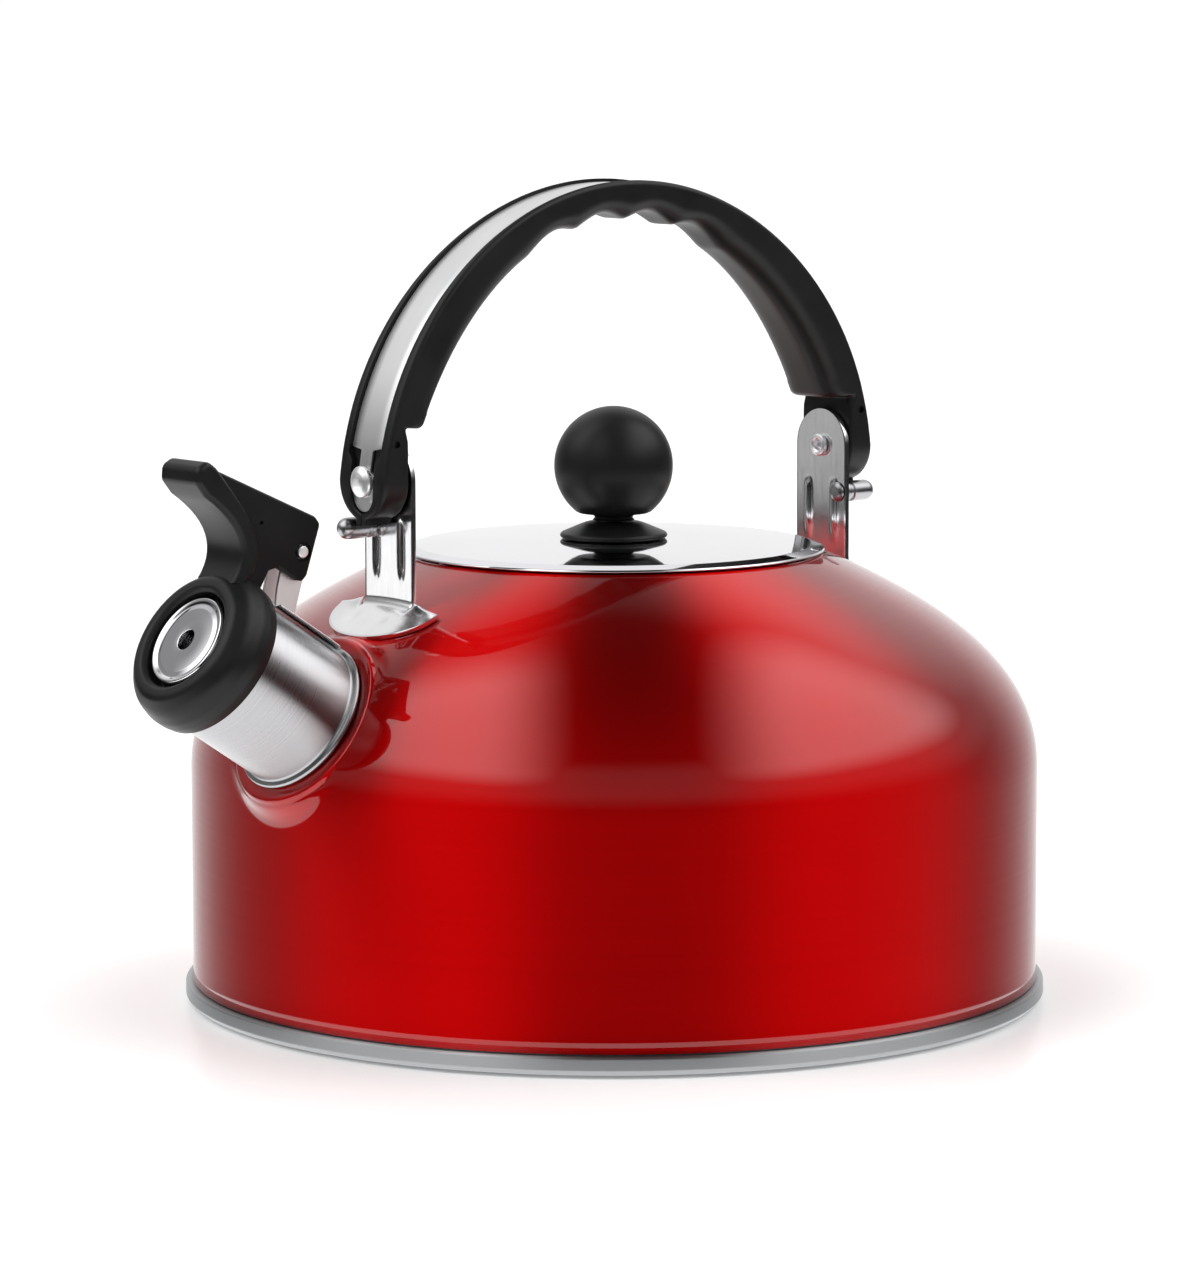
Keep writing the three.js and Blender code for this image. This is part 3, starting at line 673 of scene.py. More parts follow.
def body_shell():
    """The wall as a grid about its axis, with the seat pressed out around the spout's bore."""
    profile = wall_profile()
    window = radians(19)
    plain = {round(a, 6) for a in np.arange(0, pi - window, radians(2.0))}
    half_turn = sorted(plain | {round(a, 6) for a in np.linspace(pi - window, pi, 48)})
    angles = half_turn + [2 * pi - a for a in reversed(half_turn[1:-1])]
    verts = [(r * cos(a), r * sin(a), z) for r, z in profile for a in angles]

    def near_spout(index):
        away, along = from_spout_axis(verts[index])
        return along > -30 and away < PATCH_R + 1.0

    faces, hole = [], []
    for face in grid_faces(len(profile), len(angles), wrap=True):
        (hole if any(near_spout(v) for v in face) else faces).append(face)
    start = len(verts)
    for radius in SEAT_RINGS:
        verts += [seat_point(radius, 2 * pi * k / SEAT_AROUND) for k in range(SEAT_AROUND)]
    faces += grid_faces(len(SEAT_RINGS), SEAT_AROUND, wrap=True, start=start)
    faces += seat_border(verts, hole, list(range(len(verts) - SEAT_AROUND, len(verts))), unroller(profile))
    used = sorted({v for f in faces for v in f})
    renumber = {v: i for i, v in enumerate(used)}
    shape = [verts[v] for v in used], [[renumber[v] for v in f] for f in faces]
    obj = piece("body_shell_skin", shape, LACQUER, "kettle", "body_shell", crease=50, lining=INNER_STEEL)
    modify(obj, "SOLIDIFY", thickness=SHEET * MM, offset=-1, material_offset=1, material_offset_rim=0)


def seat_border(verts, hole, outer, unrolled):
    """Faces between the seat's outer ring and the wall's grid, found on the wall laid flat."""
    border = set()
    for face in hole:
        for a, b in zip(face, face[1:] + face[:1]):
            if (b, a) in border:
                border.remove((b, a))
            else:
                border.add((a, b))
    border = sorted(border)
    rim = sorted({v for edge in border for v in edge})
    free = [v for v in sorted({v for f in hole for v in f} - set(rim))
            if from_spout_axis(verts[v])[0] > PATCH_R + 0.6]
    ids = outer + rim + free
    index = {v: i for i, v in enumerate(ids)}
    flat = {v: unrolled(verts[v]) for v in sorted({v for f in hole for v in f} | set(outer))}
    edges = [(index[a], index[b]) for a, b in border + list(zip(outer, outer[1:] + outer[:1]))]
    points, _, found, sources = delaunay_2d_cdt([Vector(flat[v]) for v in ids], edges, [], 0, 1e-6)[:4]
    corners = np.array([[flat[v] for v in face] for face in hole])
    low, high = corners.min(1), corners.max(1)
    ring = [flat[v] for v in outer]
    faces = []
    for face in found:
        middle = sum((points[v] for v in face), Vector((0, 0))) / len(face)
        in_hole = np.any(np.all((low <= tuple(middle)) & (tuple(middle) <= high), axis=1))
        if in_hole and not within(middle, ring) and all(sources[v] for v in face):
            faces.append([ids[sources[v][0]] for v in face])
    return faces


def base():
    rim = [(-6.5, BASE_FLOOR, 0.8), (-4.6, 1.2, 0.8), (-2.8, 0.6, 1.0), (-1.2, 0.7, 0.9), (0, 1.9, 0.8),
           (-0.1, 4.8, 0.5), (-0.6, 5.2, 0.3), (-1.7, 5.1, 0.3), (-2.9, 5.0, 0.4), (-3.1, 9.0), (-3.6, 9.0),
           (-3.9, BASE_FLOOR + SHEET, 0.4)]
    pan = [(0, BASE_FLOOR)] + [(BASE_R + reach, *rest) for reach, *rest in rim] + [(0, BASE_FLOOR + SHEET)]
    piece("base_rim", turned(rounded(pan), 240), BASE_STEEL, "kettle", "base_pan", crease=40)
    edge = CAPSULE_R - SHEET
    cover = rounded([(0, 0), (CAPSULE_R - 1.4, 0, 0.8), (CAPSULE_R, 1.2, 0.8), (CAPSULE_R, DISC_HIGH, 0.2),
                     (edge, DISC_HIGH), (edge, 1.4, 0.5), (edge - 1, SHEET), (0, SHEET)])
    rings = [(r, 0) for r in np.linspace(0.5, 97, 12)]
    piece("base_capsule", turned(cover[:1] + rings + cover[1:], 180), BASE_STEEL, "kettle", "capsule_cover",
          crease=40)
    disc = rounded([(0, DISC_LOW), (DISC_R, DISC_LOW, 0.4), (DISC_R, DISC_HIGH, 0.4), (0, DISC_HIGH)])
    piece("base_heat_disc", turned(disc, 120), ALUMINIUM, "kettle", "heat_disc", crease=40)


# ---- spout ----
def spout():
    bore = SPOUT_R - 0.7
    outline = rounded([
        (bore, -7), (SPOUT_R, -7), (SPOUT_R, 0.05), (19.2, 0.05, 0.2), (19.6, 0.65, 0.5), (19.2, 1.3, 0.5),
        (SPOUT_R + 0.25, 1.5, 0.3), (SPOUT_R, 2.0, 0.6), (SPOUT_R, SPOUT_MOUTH, 0.3),
        (bore, SPOUT_MOUTH, 0.3)], steps=5)
    on_spout("spout_pipe", turned(outline, 160), SPOUT_STEEL, "kettle", "spout_tube", crease=50)


def hinge_bracket():
    """A channel saddled on the spout with a turned-up edge each side, and two ears up to the pin."""
    half = [(0, 0.6), (3.2, 0.62), (4.1, 0.75), (4.7, 1.2), (5.2, 1.45), (5.5, 1.35)]
    columns = [(-y, rise) for y, rise in half[:0:-1]] + half
    stations = [2.0, 2.3, 3, 6, 10, 14, 18, 22, 23.4, 23.8, 24.0]
    verts = []
    for along in stations:
        lip = 0.35 * (1 - smooth((along - stations[0]) / 1.2))
        verts += [(sqrt((SPOUT_R + GAP + rise - lip) ** 2 - y * y), y, along) for y, rise in columns]
    saddle = on_spout("whistle_saddle", (verts, grid_faces(len(stations), len(columns))), PRESSED, "kettle",
                      "whistle_hinge_bracket", crease=60)
    modify(saddle, "SOLIDIFY", thickness=0.5 * MM, offset=0)
    modify(saddle, "SUBSURF", levels=2, render_levels=2)
    foot, top = SPOUT_R + 0.7, PIN_ABOVE + 3.4
    outline = rounded([
        (foot, 17.2), (28.5, 20, 1.5), (PIN_ABOVE, PIN_ALONG - 3.4, 1.5), (top, PIN_ALONG - 3.2, 3.2),
        (top, PIN_ALONG + 3.2, 3.2), (PIN_ABOVE, PIN_ALONG + 3.4, 1.5), (26, 26.6, 1.5), (22.4, 25.4, 1.2),
        (foot, 23.6)], steps=6)
    for side, low in (("near", -3.0), ("far", 2.2)):
        even_faces(on_spout("whistle_ear_" + side, upright(outline, low, low + 0.8, 0.15), HINGED, "kettle"))


def hinge_pin():
    outline = rounded([(0, -PIN_END), (PIN_R, -PIN_END, 0.35), (PIN_R, PIN_END, 0.35), (0, PIN_END)])
    shape = along_y(turned(outline, 40), PIN_ABOVE, PIN_ALONG)
    on_spout("whistle_pin", shape, HINGED, "kettle", "whistle_hinge_pin")


def hinge_spring():
    """A close torsion coil on the pin with one leg lying on the saddle."""
    wire, coil_r, turns, width, leg, steps, sides = 0.35, 2.5, 4.25, 3.2, 9.0, 110, 10
    path = []
    for k in range(steps + 1):
        angle = k / steps * turns * 2 * pi
        path.append(Vector((cos(angle) * coil_r, -width / 2 + k / steps * width, sin(angle) * coil_r)))
    path += [path[-1] + Vector((-leg * k / 8, 0, 0)) for k in range(1, 9)]
    sections = []
    circle = arc((0, 0), wire, [2 * pi * k / sides for k in range(sides)])
    for i, p in enumerate(path):
        along = (path[min(i + 1, len(path) - 1)] - path[max(i - 1, 0)]).normalized()
        across = along.cross(Vector((0, 1, 0))).normalized()
        up = across.cross(along)
        ring = [p + across * a + up * b for a, b in circle]
        sections.append([(v.x + PIN_ABOVE, v.y, v.z + PIN_ALONG) for v in ring])
    on_spout("whistle_coil", tube(sections), SPRING, "kettle", "whistle_spring")


# ---- whistle ----
def whistle_cap():
    """Ring, thumb plate and slotted block of one moulding; sizes are (above the axis, along it)."""
    ring = rounded([
        (18.6, 29.9, 0.3), (CAP_R - 0.5, 29.8, 1.6), (CAP_R, 32.6, 3), (CAP_R, 35, 5), (CAP_R - 1, 38.8, 5),
        (CAP_R - 4, 41.8, 4), (14, 41.9, 1.4), (12.9, 40.9, 0.8), (12.9, 35.4), (16.5, 35.4), (16.5, 33.4),
        (18.6, 33.4)], steps=6)
    piece("whistle_moulding", from_spout(turned(ring, 128)), BAKELITE, "whistle", "whistle_cap", crease=40)
    front = bezier((16, 40.9), (25, 40.0), (29.4, 46), (29.6, 58.7), 14)
    back = bezier((37.2, 59.6), (33, 46), (30, 37.5), (22, 36.6), 12)
    tip = rounded([front[-1], (31, 62.8, 2.2), (34.2, 64.6, 2.4), (37.4, 62.8, 2), back[0]], steps=5)[1:-1]
    thumb = from_spout(upright(front + tip + back + [(16, 37.5)], -8, 8, 1.5, 5))
    even_faces(piece("whistle_thumb", thumb, BAKELITE, "whistle", crease=60))
    outline = rounded([
        (37.1, 60, 1), (42.4, 26, 2), (41.6, 23.7, 1.6), (29, 20.5, 1), (27.2, 20.9, 0.9), (26.3, 22.9, 0.8),
        (26.3, 29.3, 1.2), (24.5, 31.1, 1), (17.5, 30.8), (17.5, 39.6), (24, 41.4, 3), (28.5, 46, 6),
        (31.5, 56, 2)], steps=5)
    block = on_spout("whistle_block", upright(outline, -5, 5, 0.8, 4), BAKELITE, "whistle", crease=50)
    top, end = PIN_ABOVE + 4.4, PIN_ALONG + 4.2
    slot = upright([(20, 14), (top, 14), (top, end), (20, end)], -3.4, 3.4, 0.05, 1)
    bore = rod(PIN_R + 0.3, -9, 9, PIN_ABOVE, PIN_ALONG)
    sinks = [rod(PIN_R + 0.9, y, y + 4.8, PIN_ABOVE, PIN_ALONG) for y in (-9, 4.2)]
    dots = [rod(0.5, y, y + 0.9, 33.2, 39.5, facets=20) for y in (-5.3, 4.4)]
    carve(block, 40, slot, bore, *sinks, *dots)
    even_faces(block)


def whistle_discs():
    front = rounded([
        (WHISTLE_HOLE, 40.1, 0.2), (9.4, 39.5, 1), (10.3, 39.3, 0.4), (11.1, 39.2, 0.3), (11.1, 36),
        (11.8, 36), (11.8, 40, 0.6), (11.3, 40.75, 0.5), (10.5, 40.5, 0.4), (9.9, 40.15, 0.5),
        (8.6, 40.45, 2.5), (WHISTLE_HOLE, 40.75, 0.25)], steps=5)
    on_spout("whistle_face", turned(front, 120), LID_STEEL, "whistle", "whistle_front_disc", crease=50)
    rear = rounded([
        (2, 34.1), (16.2, 34.1, 0.2), (16.2, 34.8, 0.2), (10.8, 34.8, 0.4), (10.8, 38.6, 0.2),
        (10.2, 38.6, 0.2), (10.2, 34.8, 0.4), (2, 34.8)])
    on_spout("whistle_cup", turned(rear, 96), POLISHED, "whistle", "whistle_rear_disc", crease=50)


# ---- brackets ----
def strap_face(y, z):
    """A point of the strap's inner face, with the two pressed ribs."""
    along = smooth((PIVOT_Z - 9.0 - z) / 1.6) * smooth((z - 111.0) / 6.0)
    return PIVOT_X - RIB_DEPTH * exp(-((abs(y) - RIB_Y) / RIB_WIDTH) ** 2) * along, y, z


def fold_column(y, steps=13, straight=0.35):
    """From the strap's end down and round the fold to where it lies on the dome."""
    fall = dome_slope(hypot(PIVOT_X, y) + 2)
    centre_x = PIVOT_X + FOLD_R
    touch_x = centre_x - FOLD_R * sin(fall)
    centre_z = above_dome(touch_x, y) + FOLD_R * cos(fall)
    column = []
    for k in range(1, steps + 1):
        t = k / steps
        if t < straight:
            column.append(strap_face(y, STRAP_FOOT_Z + (centre_z - STRAP_FOOT_Z) * (t / straight)))
        else:
            angle = pi + (pi / 2 - fall) * ((t - straight) / (1 - straight))
            column.append((centre_x + FOLD_R * cos(angle), y, centre_z + FOLD_R * sin(angle)))
    return column


def bracket_sheet():
    """Inner face of the rear bracket as a grid: the strap with its ribs, the fold and the foot."""
    half = np.concatenate([np.linspace(3.2, 6.8, 10), np.linspace(7.2, STRAP_HALF, 4)])
    columns = [*-half[::-1], *np.linspace(-2.6, 2.6, 5), *half]
    rows = []
    for k in range(15):
        angle = pi / 2 * (1 - k / 14)
        rows.append((PIVOT_Z + STRAP_HALF * sin(angle), max(0.02, STRAP_HALF * cos(angle))))
    rows += [(z, STRAP_HALF) for z in np.linspace(PIVOT_Z - 1, STRAP_FOOT_Z, 22)]
    verts = [strap_face(y / STRAP_HALF * width, z) for z, width in rows for y in columns]
    fold = list(zip(*[fold_column(y) for y in columns]))
    verts += [point for row in fold for point in row]
    count = len(columns)
    faces = grid_faces(len(rows) + len(fold), count)

    # The foot's wings are added on both sides of the fold's last row.
    wing = list(np.linspace(STRAP_HALF, FOOT_HALF, 14)[1:])
    foot_columns = [-y for y in reversed(wing)] + columns + wing
    last_row = len(verts) - count
    previous = []
    for i, y in enumerate(foot_columns):
        if len(wing) <= i < len(wing) + count:
            previous.append(last_row + i - len(wing))
            continue
        x = PIVOT_X + 0.4
        lift = FOOT_LIFT * exp(-((abs(y) - STRAP_HALF) / FOOT_LIFT_REACH) ** 2)
        previous.append(len(verts))
        verts.append((x, y, above_dome(x, y) + lift))
    starts = [verts[v] for v in previous]
    steps = 12
    for k in range(1, steps + 1):
        row = list(range(len(verts), len(verts) + len(foot_columns)))
        for (x0, y, z0) in starts:
            end = PIVOT_X + FOOT_REACH * sqrt(max(0.0, 1 - (y / FOOT_HALF) ** 2))
            x = x0 + (max(end, x0 + 0.02) - x0) * (k / steps)
            z = above_dome(x, y) + (z0 - above_dome(x0, y)) * (1 - smooth(3 * k / steps))
            for dimple_y in (-DIMPLE_Y, DIMPLE_Y):
                away = hypot(y - dimple_y, x - PIVOT_X - DIMPLE_X)
                z -= DIMPLE_DEPTH * exp(-(away / DIMPLE_R) ** 2)
            verts.append((x, y, z))
        for i in range(len(row) - 1):
            faces.append([previous[i], previous[i + 1], row[i + 1], row[i]])
        previous = row
    return verts, faces


def brackets():
    inner, outer = PIVOT_X - GAP, PIVOT_X + STRAP_T + GAP
    head = [(3.9, 0, 0.3), (3.95, 0.6, 0.5), (3.6, 0.95, 1.2), (2.4, 1.6, 2.0), (1.2, 1.93, 2.0)]
    rivet = rounded([
        (0, inner + 0.2), (1.2, inner + 0.2, 0.3), (1.45, inner - 0.9, 0.3), (2.1, inner - 1.3, 0.35),
        (2.9, inner - 1.1, 0.5), (3.0, inner - 0.35, 0.4), (2.4, inner), (1.9, inner), (1.9, RIVET_HEAD)]
        + [(r, RIVET_HEAD + rise, edge) for r, rise, edge in head] + [(0, RIVET_HEAD + 2)])
    stud = rounded([
        (0, inner - 0.8), (1.4, inner - 0.8, 0.5), (2.4, inner - 0.4, 0.4), (2.5, inner), (1.6, inner),
        (1.6, outer), (STUD_R, outer, 0.25), (STUD_R, outer + 1.1, 0.25), (2.3, outer + 1.4, 0.2),
        (2.3, outer + 2.1, 0.2), (STUD_R, outer + 2.4, 0.3), (STUD_R, outer + 3.4)])
    stud += arc((0, STUD_END - STUD_R), STUD_R, np.linspace(0, pi / 2, 12))[:-1] + [(0, STUD_END)]
    for end, turn in (("rear", 0.0), ("front", pi)):
        spin = Matrix.Rotation(turn, 4, "Z")
        strap = piece("bracket_strap_" + end, bracket_sheet(), PRESSED, "kettle", "bracket_" + end,
                      place=spin, crease=75)
        modify(strap, "SOLIDIFY", thickness=STRAP_T * MM, offset=1, use_even_offset=True)
        modify(strap, "BEVEL", width=0.25 * MM, segments=2, limit_method="ANGLE", angle_limit=radians(60))
        for name, outline, y, z, look, node in (("pivot_pin_", rivet, 0, PIVOT_Z, RIVETED, "pivot_rivet_"),
                                                ("fold_stop_", stud, -STUD_Y, STUD_Z, STUDDED, "stop_stud_")):
            shape = along_x(turned(outline, 64), y, z)
            piece(name + end, shape, look, "kettle", node + end, place=spin, crease=60)


# ---- handle ----
def arch_point(arch, angle):
    half, rise, centre = arch
    return half * cos(angle), centre + rise * sin(angle)


def arch_angle(arch, z):
    return asin((z - arch[2]) / arch[1])


def outer_point(z):
    """The point of the handle's outer line at a height."""
    return arch_point(ARCH_OUT, arch_angle(ARCH_OUT, z))


def scallop(x):
    """How far the grip's underside is pressed in by the finger hollows."""
    if abs(x) >= SCALLOP_REACH:
        return 0.0
    return SCALLOP_DEPTH * abs(sin((x + SCALLOP_REACH) / SCALLOP_PITCH * pi)) ** 1.15


def handle_stations():
    """Pairs of (outer point, inner point, half width) from the rear leg's foot to the arch's top."""
    outer_x = outer_point(PIVOT_Z)[0]
    rounds = []
    for k in range(12):
        angle = pi / 2 * k / 12
        rounds.append((PIVOT_Z - HANDLE_HALF_LEG * cos(angle), HANDLE_HALF_LEG * sin(angle)))
    rounds = [(z, half) for z, half in rounds if half > TAB_HALF]
    bottom = PIVOT_Z - LEG_END
    tab = [(z, TAB_HALF) for z in (bottom, bottom + 0.3, rounds[0][0] - 0.4)]
    pairs = [((outer_x, z), (LEG_INNER, z), half) for z, half in tab + rounds]
    for rise in (0, 2, 5, 7.0, 7.6, 10, 13):
        pairs.append((outer_point(PIVOT_Z + rise), (LEG_INNER, PIVOT_Z + rise), HANDLE_HALF_LEG))
    end_in = arch_angle(ARCH_IN, GRIP_END_Z + 3)
    grip_x, grip_z = arch_point(ARCH_IN, end_in)
    ledge = rounded([(LEG_INNER, GRIP_END_Z - 3), (LEG_INNER, GRIP_END_Z, 0.8),
                     (grip_x + 1.6, GRIP_END_Z - 0.6, 2.6), (grip_x, grip_z)], steps=6)[1:]
    low, high = PIVOT_Z + 14, GRIP_END_Z + 2.5
    for i, point in enumerate(ledge):
        pairs.append((outer_point(low + (high - low) * i / (len(ledge) - 1)), point, HANDLE_HALF_LEG))
    start_out = arch_angle(ARCH_OUT, high)
    steps = 90
    for k in range(1, steps + 1):
        t = k / steps
        x, z = arch_point(ARCH_IN, end_in + (pi / 2 - end_in) * t)
        half = HANDLE_HALF_LEG + (HANDLE_HALF_TOP - HANDLE_HALF_LEG) * smooth(t * 1.15)
        outer = arch_point(ARCH_OUT, start_out + (pi / 2 - start_out) * t)
        pairs.append((outer, (x, z + scallop(x)), half))
    return pairs


def round_end(eye, z):
    """Half width at a height of the round end, of radius eye, that the groove and the strip have."""
    return sqrt(max(0.0, eye ** 2 - (z - PIVOT_Z + EYE_DROP) ** 2))


def groove_half(z):
    """Half width of the strip's groove at a height on a leg."""
    eye = 4.6
    if z < PIVOT_Z - EYE_DROP:
        return round_end(eye, z)
    return eye if z < PIVOT_Z + 7.0 else GROOVE_HALF


def handle_section(thick, half, groove, depth, round_in):
    """Closed (inset from the outer line, y) loop; always the same number of points."""
    edge = min(1.3, half * 0.4)
    round_in = min(round_in, half * 0.95, thick * 0.45)
    lip = min(0.3, max(0.02, half - groove) * 0.3)
    side = [(lip * 0.3, groove), (0.0, groove + lip)]
    side += [(edge * (1 - cos(a)), half - edge * (1 - sin(a))) for a in np.linspace(0, pi / 2, 5)]
    side += [(edge + (thick - round_in - edge) * s, half) for s in (0.25, 0.5, 0.75)]
    side += [(thick - round_in * (1 - sin(a)), half - round_in * (1 - cos(a)))
             for a in np.linspace(0, pi / 2, 9)]
    side.append((thick, (half - round_in) * 0.5))
    floor = [(depth, groove * s) for s in (-0.98, -0.5, 0.0, 0.5, 0.98)]
    return side + [(thick, 0.0)] + [(d, -y) for d, y in reversed(side)] + floor


def handle():
    sections = []
    for (ox, oz), (ix, iz), half in handle_stations():
        thick = hypot(ox - ix, oz - iz)
        on_leg = oz < PIVOT_Z + 30 and ox > 60
        groove = min(groove_half(oz) if on_leg else GROOVE_HALF, half - 0.6)
        depth = GROOVE_DEPTH * min(1.0, max(0.0, groove / 0.4))
        grip = smooth((oz - GRIP_END_Z + 4) / 8)
        loop = handle_section(thick, half, max(groove, 0.02), depth, 0.8 + 4.6 * grip)
        sections.append([(ox + (ix - ox) / thick * d, y, oz + (iz - oz) / thick * d) for d, y in loop])
    sections += [[(-x, y, z) for x, y, z in section] for section in reversed(sections[:-1])]
    obj = piece("handle_moulding", tube(sections), BAKELITE, "handle", "handle_grip", crease=48)
    dimples = [rod(0.9, low, low + 2.5, x, PIVOT_Z + 9.5, facets=24)
               for x in (76.5, -76.5) for low in (-11.0, HANDLE_HALF_LEG - 1.0)]
    carve(obj, 48, *dimples)


def strip_half(z):
    """Half width of the strip: an eye under each rivet, a neck above it, then the full width."""
    wide = GROOVE_HALF - GAP
    if z < PIVOT_Z - EYE_DROP:
        return round_end(STRIP_EYE, z)
    if z < PIVOT_Z + 7.6:
        return STRIP_EYE + (STRIP_NECK - STRIP_EYE) * smooth((z - PIVOT_Z - 1.4) / 1.2)
    return STRIP_NECK + (wide - STRIP_NECK) * smooth((z - PIVOT_Z - 7.6) / 0.9)


def strip():
    """The bright strip in the groove."""
    eye_z = PIVOT_Z - EYE_DROP
    levels = [eye_z - STRIP_EYE * cos(a) for a in np.linspace(0.05, pi / 2, 10)]
    levels += [*np.linspace(eye_z + 0.5, PIVOT_Z + 1.4, 5), *np.linspace(PIVOT_Z + 1.6, PIVOT_Z + 2.8, 5)]
    levels += [PIVOT_Z + 4, PIVOT_Z + 6, *np.linspace(PIVOT_Z + 7.4, PIVOT_Z + 8.6, 7), PIVOT_Z + 10]
    line = [(outer_point(max(z, PIVOT_Z))[0], z, strip_half(z), (1.0, 0.0)) for z in levels]
    start = arch_angle(ARCH_OUT, levels[-1])
    for k in range(1, 61):
        angle = start + (pi / 2 - start) * k / 60
        nx, nz = cos(angle) / ARCH_OUT[0], sin(angle) / ARCH_OUT[1]
        size = hypot(nx, nz)
        line.append((*arch_point(ARCH_OUT, angle), GROOVE_HALF - GAP, (nx / size, nz / size)))
    line += [(-x, z, half, (-nx, nz)) for x, z, half, (nx, nz) in reversed(line[:-1])]
    top = [(s, STRIP_SINK + (0.12 if abs(s) == 1 else 0)) for s in (-1.0, -0.96, -0.5, 0.0, 0.5, 0.96, 1.0)]
    loop = top + [(s, STRIP_SINK + STRIP_T) for s, _ in reversed(top)]
    sections = [[(x - nx * sink, half * s, z - nz * sink) for s, sink in loop]
                for x, z, half, (nx, nz) in line]
    piece("handle_inlay", tube(sections), STRIP, "handle", "handle_strip", crease=40)


# ---- lid ----
def lid_height(r):
    along = max(0.0, (r - LID_SEAT_R) / (LID_BEND_R - LID_SEAT_R))
    return LID_TOP - (LID_TOP - LID_BEND_Z) * along ** 2


def lid():
    dome = [(r, lid_height(r)) for r in np.linspace(LID_SEAT_R, LID_BEND_R, 24)]
    rim_start = LID_BEND_R - 4
    rim = rounded([(LID_BEND_R, LID_BEND_Z - SHEET), (LID_R - 0.9, 114.4, 0.6), (LID_R - 0.3, 114.4, 0.3),
                   (LID_R, 114.65, 0.3), (LID_R - 0.35, 115.05, 0.5),
                   (LID_BEND_R + 0.4, LID_BEND_Z - 0.02, 2.4), (rim_start, lid_height(rim_start))], steps=8)
    outline = ([(BOLT_R, LID_TOP - SHEET)] + [(r, z - SHEET) for r, z in dome[:-1]] + rim
               + [point for point in dome[::-1] if point[0] < rim_start] + [(BOLT_R, LID_TOP)])
    piece("lid_plate", turned(outline, 240), LID_STEEL, "lid", "lid_cover", crease=50)
    wall = MOUTH_R - 0.9
    flange, inside, foot = wall - 3.5, wall - SHEET, 103
    under, under_flange = [lid_height(r) - SHEET - GAP for r in (wall, flange)]
    skirt = rounded([
        (flange, under_flange - SHEET), (wall - 1.4, under - SHEET, 0.8), (inside, under - 1.6),
        (inside, foot, 0.2), (wall, foot, 0.2), (wall, under - 1.4, 0.9), (wall - 0.9, under, 0.5),
        (flange, under_flange)])
    piece("lid_ring", turned(skirt, 160), INNER_STEEL, "lid", "lid_skirt", crease=50)
    washer = LID_TOP - SHEET - GAP
    ring = rounded([(BOLT_R, washer - 1), (6, washer - 1, 0.25), (6, washer, 0.25), (BOLT_R, washer)])
    piece("lid_washer", turned(ring, 48), POLISHED, "lid", "knob_washer")
    screw = corner("knob_screw", 0).z
    head = rounded([(0, screw), (2.2, screw, 0.6), (4, screw + 0.9, 0.6), (4, screw + 2.3, 0.2),
                    (2, screw + 2.3), (2, 129.5), (0, 129.5)])
    bolt = piece("lid_screw", turned(head, 48), POLISHED, "lid", "knob_screw")
    slot = [(-5, -0.45), (5, -0.45), (5, 0.45), (-5, 0.45)]
    carve(bolt, 40, plate(slot, screw - 1, screw + 0.8, 0.02, 1))


def knob():
    foot = LID_TOP + GAP
    base_line = rounded([
        (BOLT_R, foot), (13.3, foot, 0.3), (13.8, foot + 0.6, 0.5), (13.3, foot + 1.3, 0.8),
        (7.4, foot + 3.8, 1.5), (6.0, foot + KNOB_FOOT_T, 0.5), (BOLT_R, foot + KNOB_FOOT_T)], steps=6)
    piece("knob_foot", turned(base_line, 120), BAKELITE, "lid", "knob_base", crease=50)
    ball = arc((0, KNOB_Z), KNOB_R, np.linspace(asin(-11.7 / KNOB_R), pi / 2, 41))
    low, flat = LID_TOP + KNOB_FOOT_T + 2 * GAP, KNOB_Z - 12
    neck = rounded([(0, 130), (2.3, 130), (2.3, low), (5.6, low, 0.3), (4.9, low + 0.5, 0.3),
                    (4.9, low + 1, 0.3), (5.6, low + 1.5, 0.3), (5.6, flat, 0.2), (8.9, flat, 0.35), ball[0]])
    piece("knob_globe", turned(neck + ball[1:-1] + [(0, KNOB_Z + KNOB_R)], 120), BAKELITE, "lid", "knob_ball",
          crease=40)


for build in (body_shell, base, spout, hinge_bracket, hinge_pin, hinge_spring, whistle_cap, whistle_discs,
              brackets, handle, strip, lid, knob):
    build()


# ---- studio ----
def studio_floor():
    """A round pale floor, wide enough to meet the white background."""
    mesh = bpy.data.meshes.new("floor")
    edit = bmesh.new()
    bmesh.ops.create_circle(edit, cap_ends=True, segments=96, radius=6.0)
    edit.to_mesh(mesh)
    edit.free()
    floor = bpy.data.objects.new("studio_floor", mesh)
    bpy.context.scene.collection.objects.link(floor)
    look = Look("floor_paint", None, Roughness=0.28, Specular_IOR_Level=0.12)
    look.colour(look.noise(look.place, 2, 2), grey(0.90), grey(0.92))
    mesh.materials.append(look.material)
    floor.visible_glossy = False


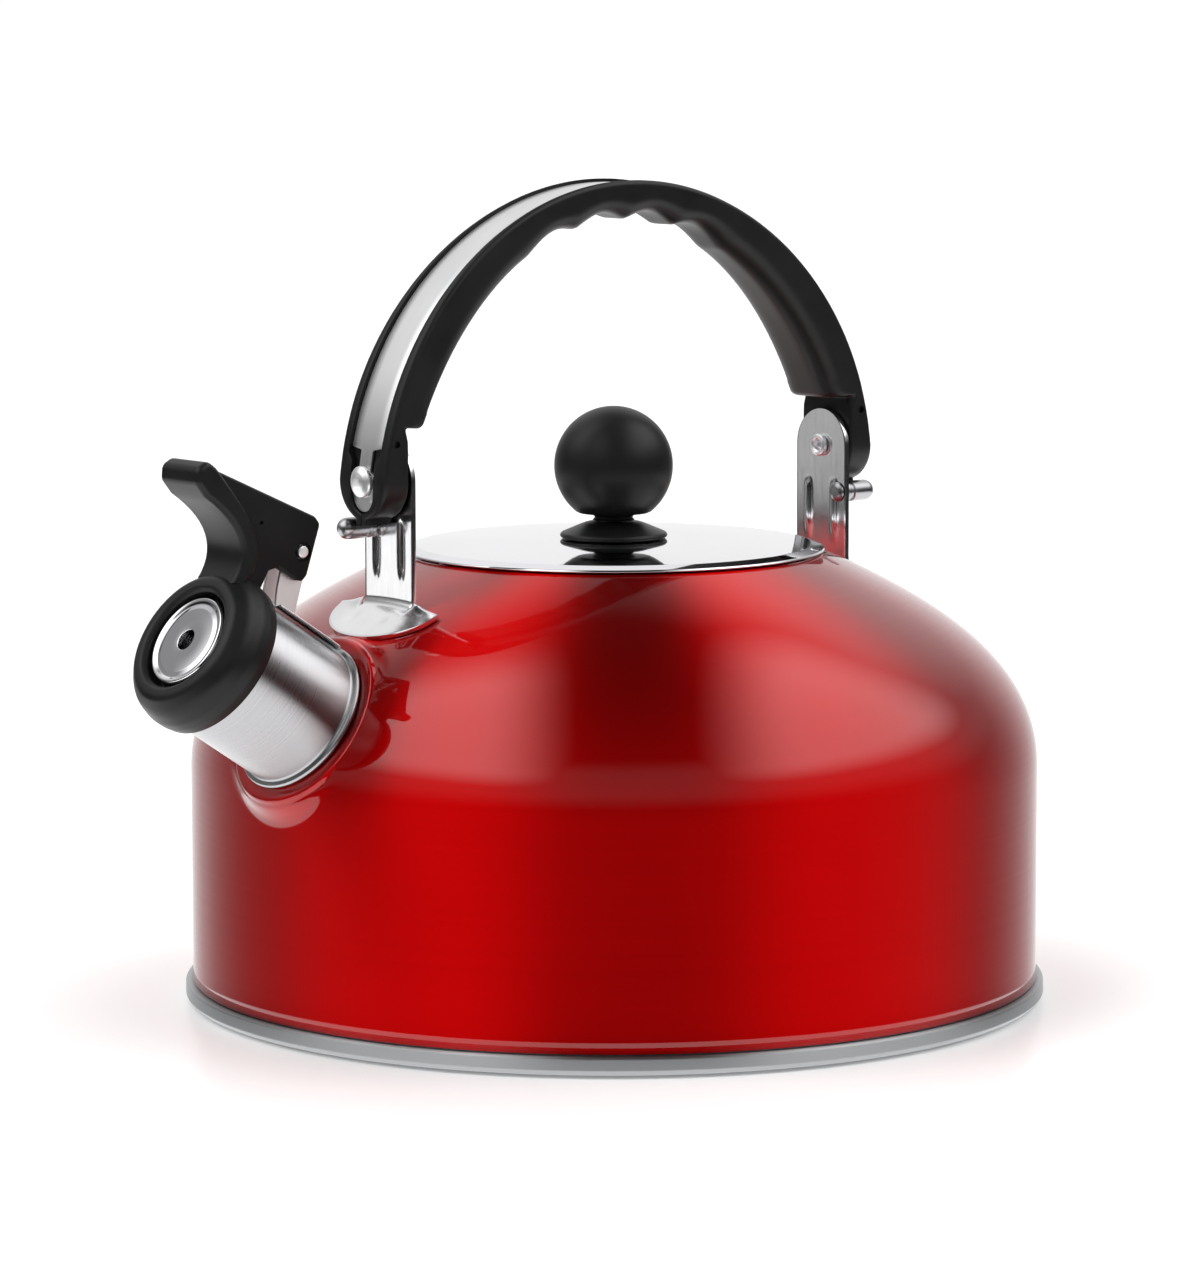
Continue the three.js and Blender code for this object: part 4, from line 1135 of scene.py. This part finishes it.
def studio_world():
    """White surroundings behind, dark low down in front, and two large soft panels overhead."""
    world = bpy.data.worlds.new("studio")
    world.use_nodes = True
    bpy.context.scene.world = world
    world.node_tree.nodes.clear()
    sky = Nodes(world.node_tree)
    times, plus, most = sky.times, sky.plus, sky.most

    def ramp(value, edges):
        return sky.ramp(value, *edges, interpolation_type="SMOOTHSTEP")

    def less(share):
        return sky.math("SUBTRACT", 1.0, share)

    def degrees(angle):
        return times(angle, 180 / pi)

    def part(direction, axis):
        return sky.node("ShaderNodeVectorMath", direction, axis, operation="DOT_PRODUCT").outputs["Value"]

    direction = sky.node("ShaderNodeTexCoord").outputs["Generated"]
    ahead = part(direction, (sin(CAMERA_AZIMUTH), -cos(CAMERA_AZIMUTH), 0))
    right = part(direction, (cos(CAMERA_AZIMUTH), sin(CAMERA_AZIMUTH), 0))
    height = sky.node("ShaderNodeSeparateXYZ", direction).outputs["Z"]
    elevation = degrees(sky.math("ARCSINE", height))
    azimuth = sky.math("ABSOLUTE", degrees(sky.math("ARCTAN2", right, ahead)))

    overhead = degrees(sky.math("ARCTAN2", height, ahead))
    lateral = sky.math("DIVIDE", right, less(times(ramp(overhead, TAPER_ARC), PANEL_TAPER)))
    backward = times(ahead, -1)
    left_lit = times(ramp(times(lateral, -1), LEFT_PANEL), less(times(ramp(backward, LEFT_END), LEFT_FADE)))
    right_lit = times(ramp(lateral, RIGHT_PANEL), less(times(ramp(backward, RIGHT_END), RIGHT_FADE)))
    panels = times(ramp(elevation, PANEL_EDGE), plus(left_lit, right_lit))
    later = times(most(sky.math("SUBTRACT", elevation, BEHIND_TURN[0]), 0.0), BEHIND_TURN[1])
    behind = times(sky.math("POWER", ramp(plus(azimuth, later), BEHIND), BEHIND_CURVE),
                   less(ramp(elevation, BEHIND_TOP)))
    table = ramp(times(elevation, -1), TABLE_EDGE)
    glow = times(ramp(elevation, GLOW_FOOT), less(ramp(elevation, GLOW_TOP)))
    level = most(plus(times(behind, BEHIND_LEVEL), DARK_LEVEL), times(table, TABLE_LEVEL))
    level = most(most(level, times(glow, GLOW_LEVEL)), times(panels, PANEL_LEVEL))
    path = sky.node("ShaderNodeLightPath").outputs
    level = times(level, plus(1.0, times(path["Is Diffuse Ray"], FLOOR_LIFT)))
    white = (1, 1, 1, 1)
    studio = sky.node("ShaderNodeBackground", white, level)
    backdrop = sky.node("ShaderNodeBackground", white, BACKDROP_LEVEL)
    mix = sky.node("ShaderNodeMixShader", path["Is Camera Ray"], studio.outputs[0], backdrop.outputs[0])
    sky.node("ShaderNodeOutputWorld", mix.outputs[0])


def side_card(name, facing, level, width, height, centre, lit):
    """A small soft panel beside the kettle, out of view, flagged off everything but the named pieces."""
    facing = Vector(facing).normalized()
    data = bpy.data.lights.new(name, "AREA")
    data.shape = "RECTANGLE"
    data.size, data.size_y = width, height
    data.energy = level * pi * width * height
    card = bpy.data.objects.new(name, data)
    bpy.context.scene.collection.objects.link(card)
    place = Vector(centre) * MM + facing * CARD_DISTANCE
    card.matrix_world = Matrix.Translation(place) @ facing.to_track_quat("Z", "Y").to_matrix().to_4x4()
    card.visible_camera = False
    receivers = bpy.data.collections.new(name + "_lit")
    for piece_name in lit:
        receivers.objects.link(bpy.data.objects[piece_name])
    card.light_linking.receiver_collection = receivers


def camera():
    data = bpy.data.cameras.new("camera")
    data.sensor_fit = "AUTO"
    data.sensor_width = 36
    data.lens = CAMERA_LENS
    data.clip_start, data.clip_end = 0.05, 30
    eye = bpy.data.objects.new("camera", data)
    bpy.context.scene.collection.objects.link(eye)
    place = Vector((sin(CAMERA_AZIMUTH) * CAMERA_GROUND, -cos(CAMERA_AZIMUTH) * CAMERA_GROUND,
                    CAMERA_HEIGHT))
    heading = CAMERA_AZIMUTH + CAMERA_YAW
    ahead = Vector((-sin(heading) * cos(CAMERA_PITCH), cos(heading) * cos(CAMERA_PITCH),
                    -sin(CAMERA_PITCH)))
    eye.matrix_world = (Matrix.Translation(place * MM) @ ahead.to_track_quat("-Z", "Y").to_matrix().to_4x4()
                        @ Matrix.Rotation(CAMERA_ROLL, 4, "Z"))
    bpy.context.scene.camera = eye


studio_floor()
studio_world()
for settings in CARDS:
    side_card(*settings)
camera()
bpy.context.scene.view_settings.view_transform = "Standard"
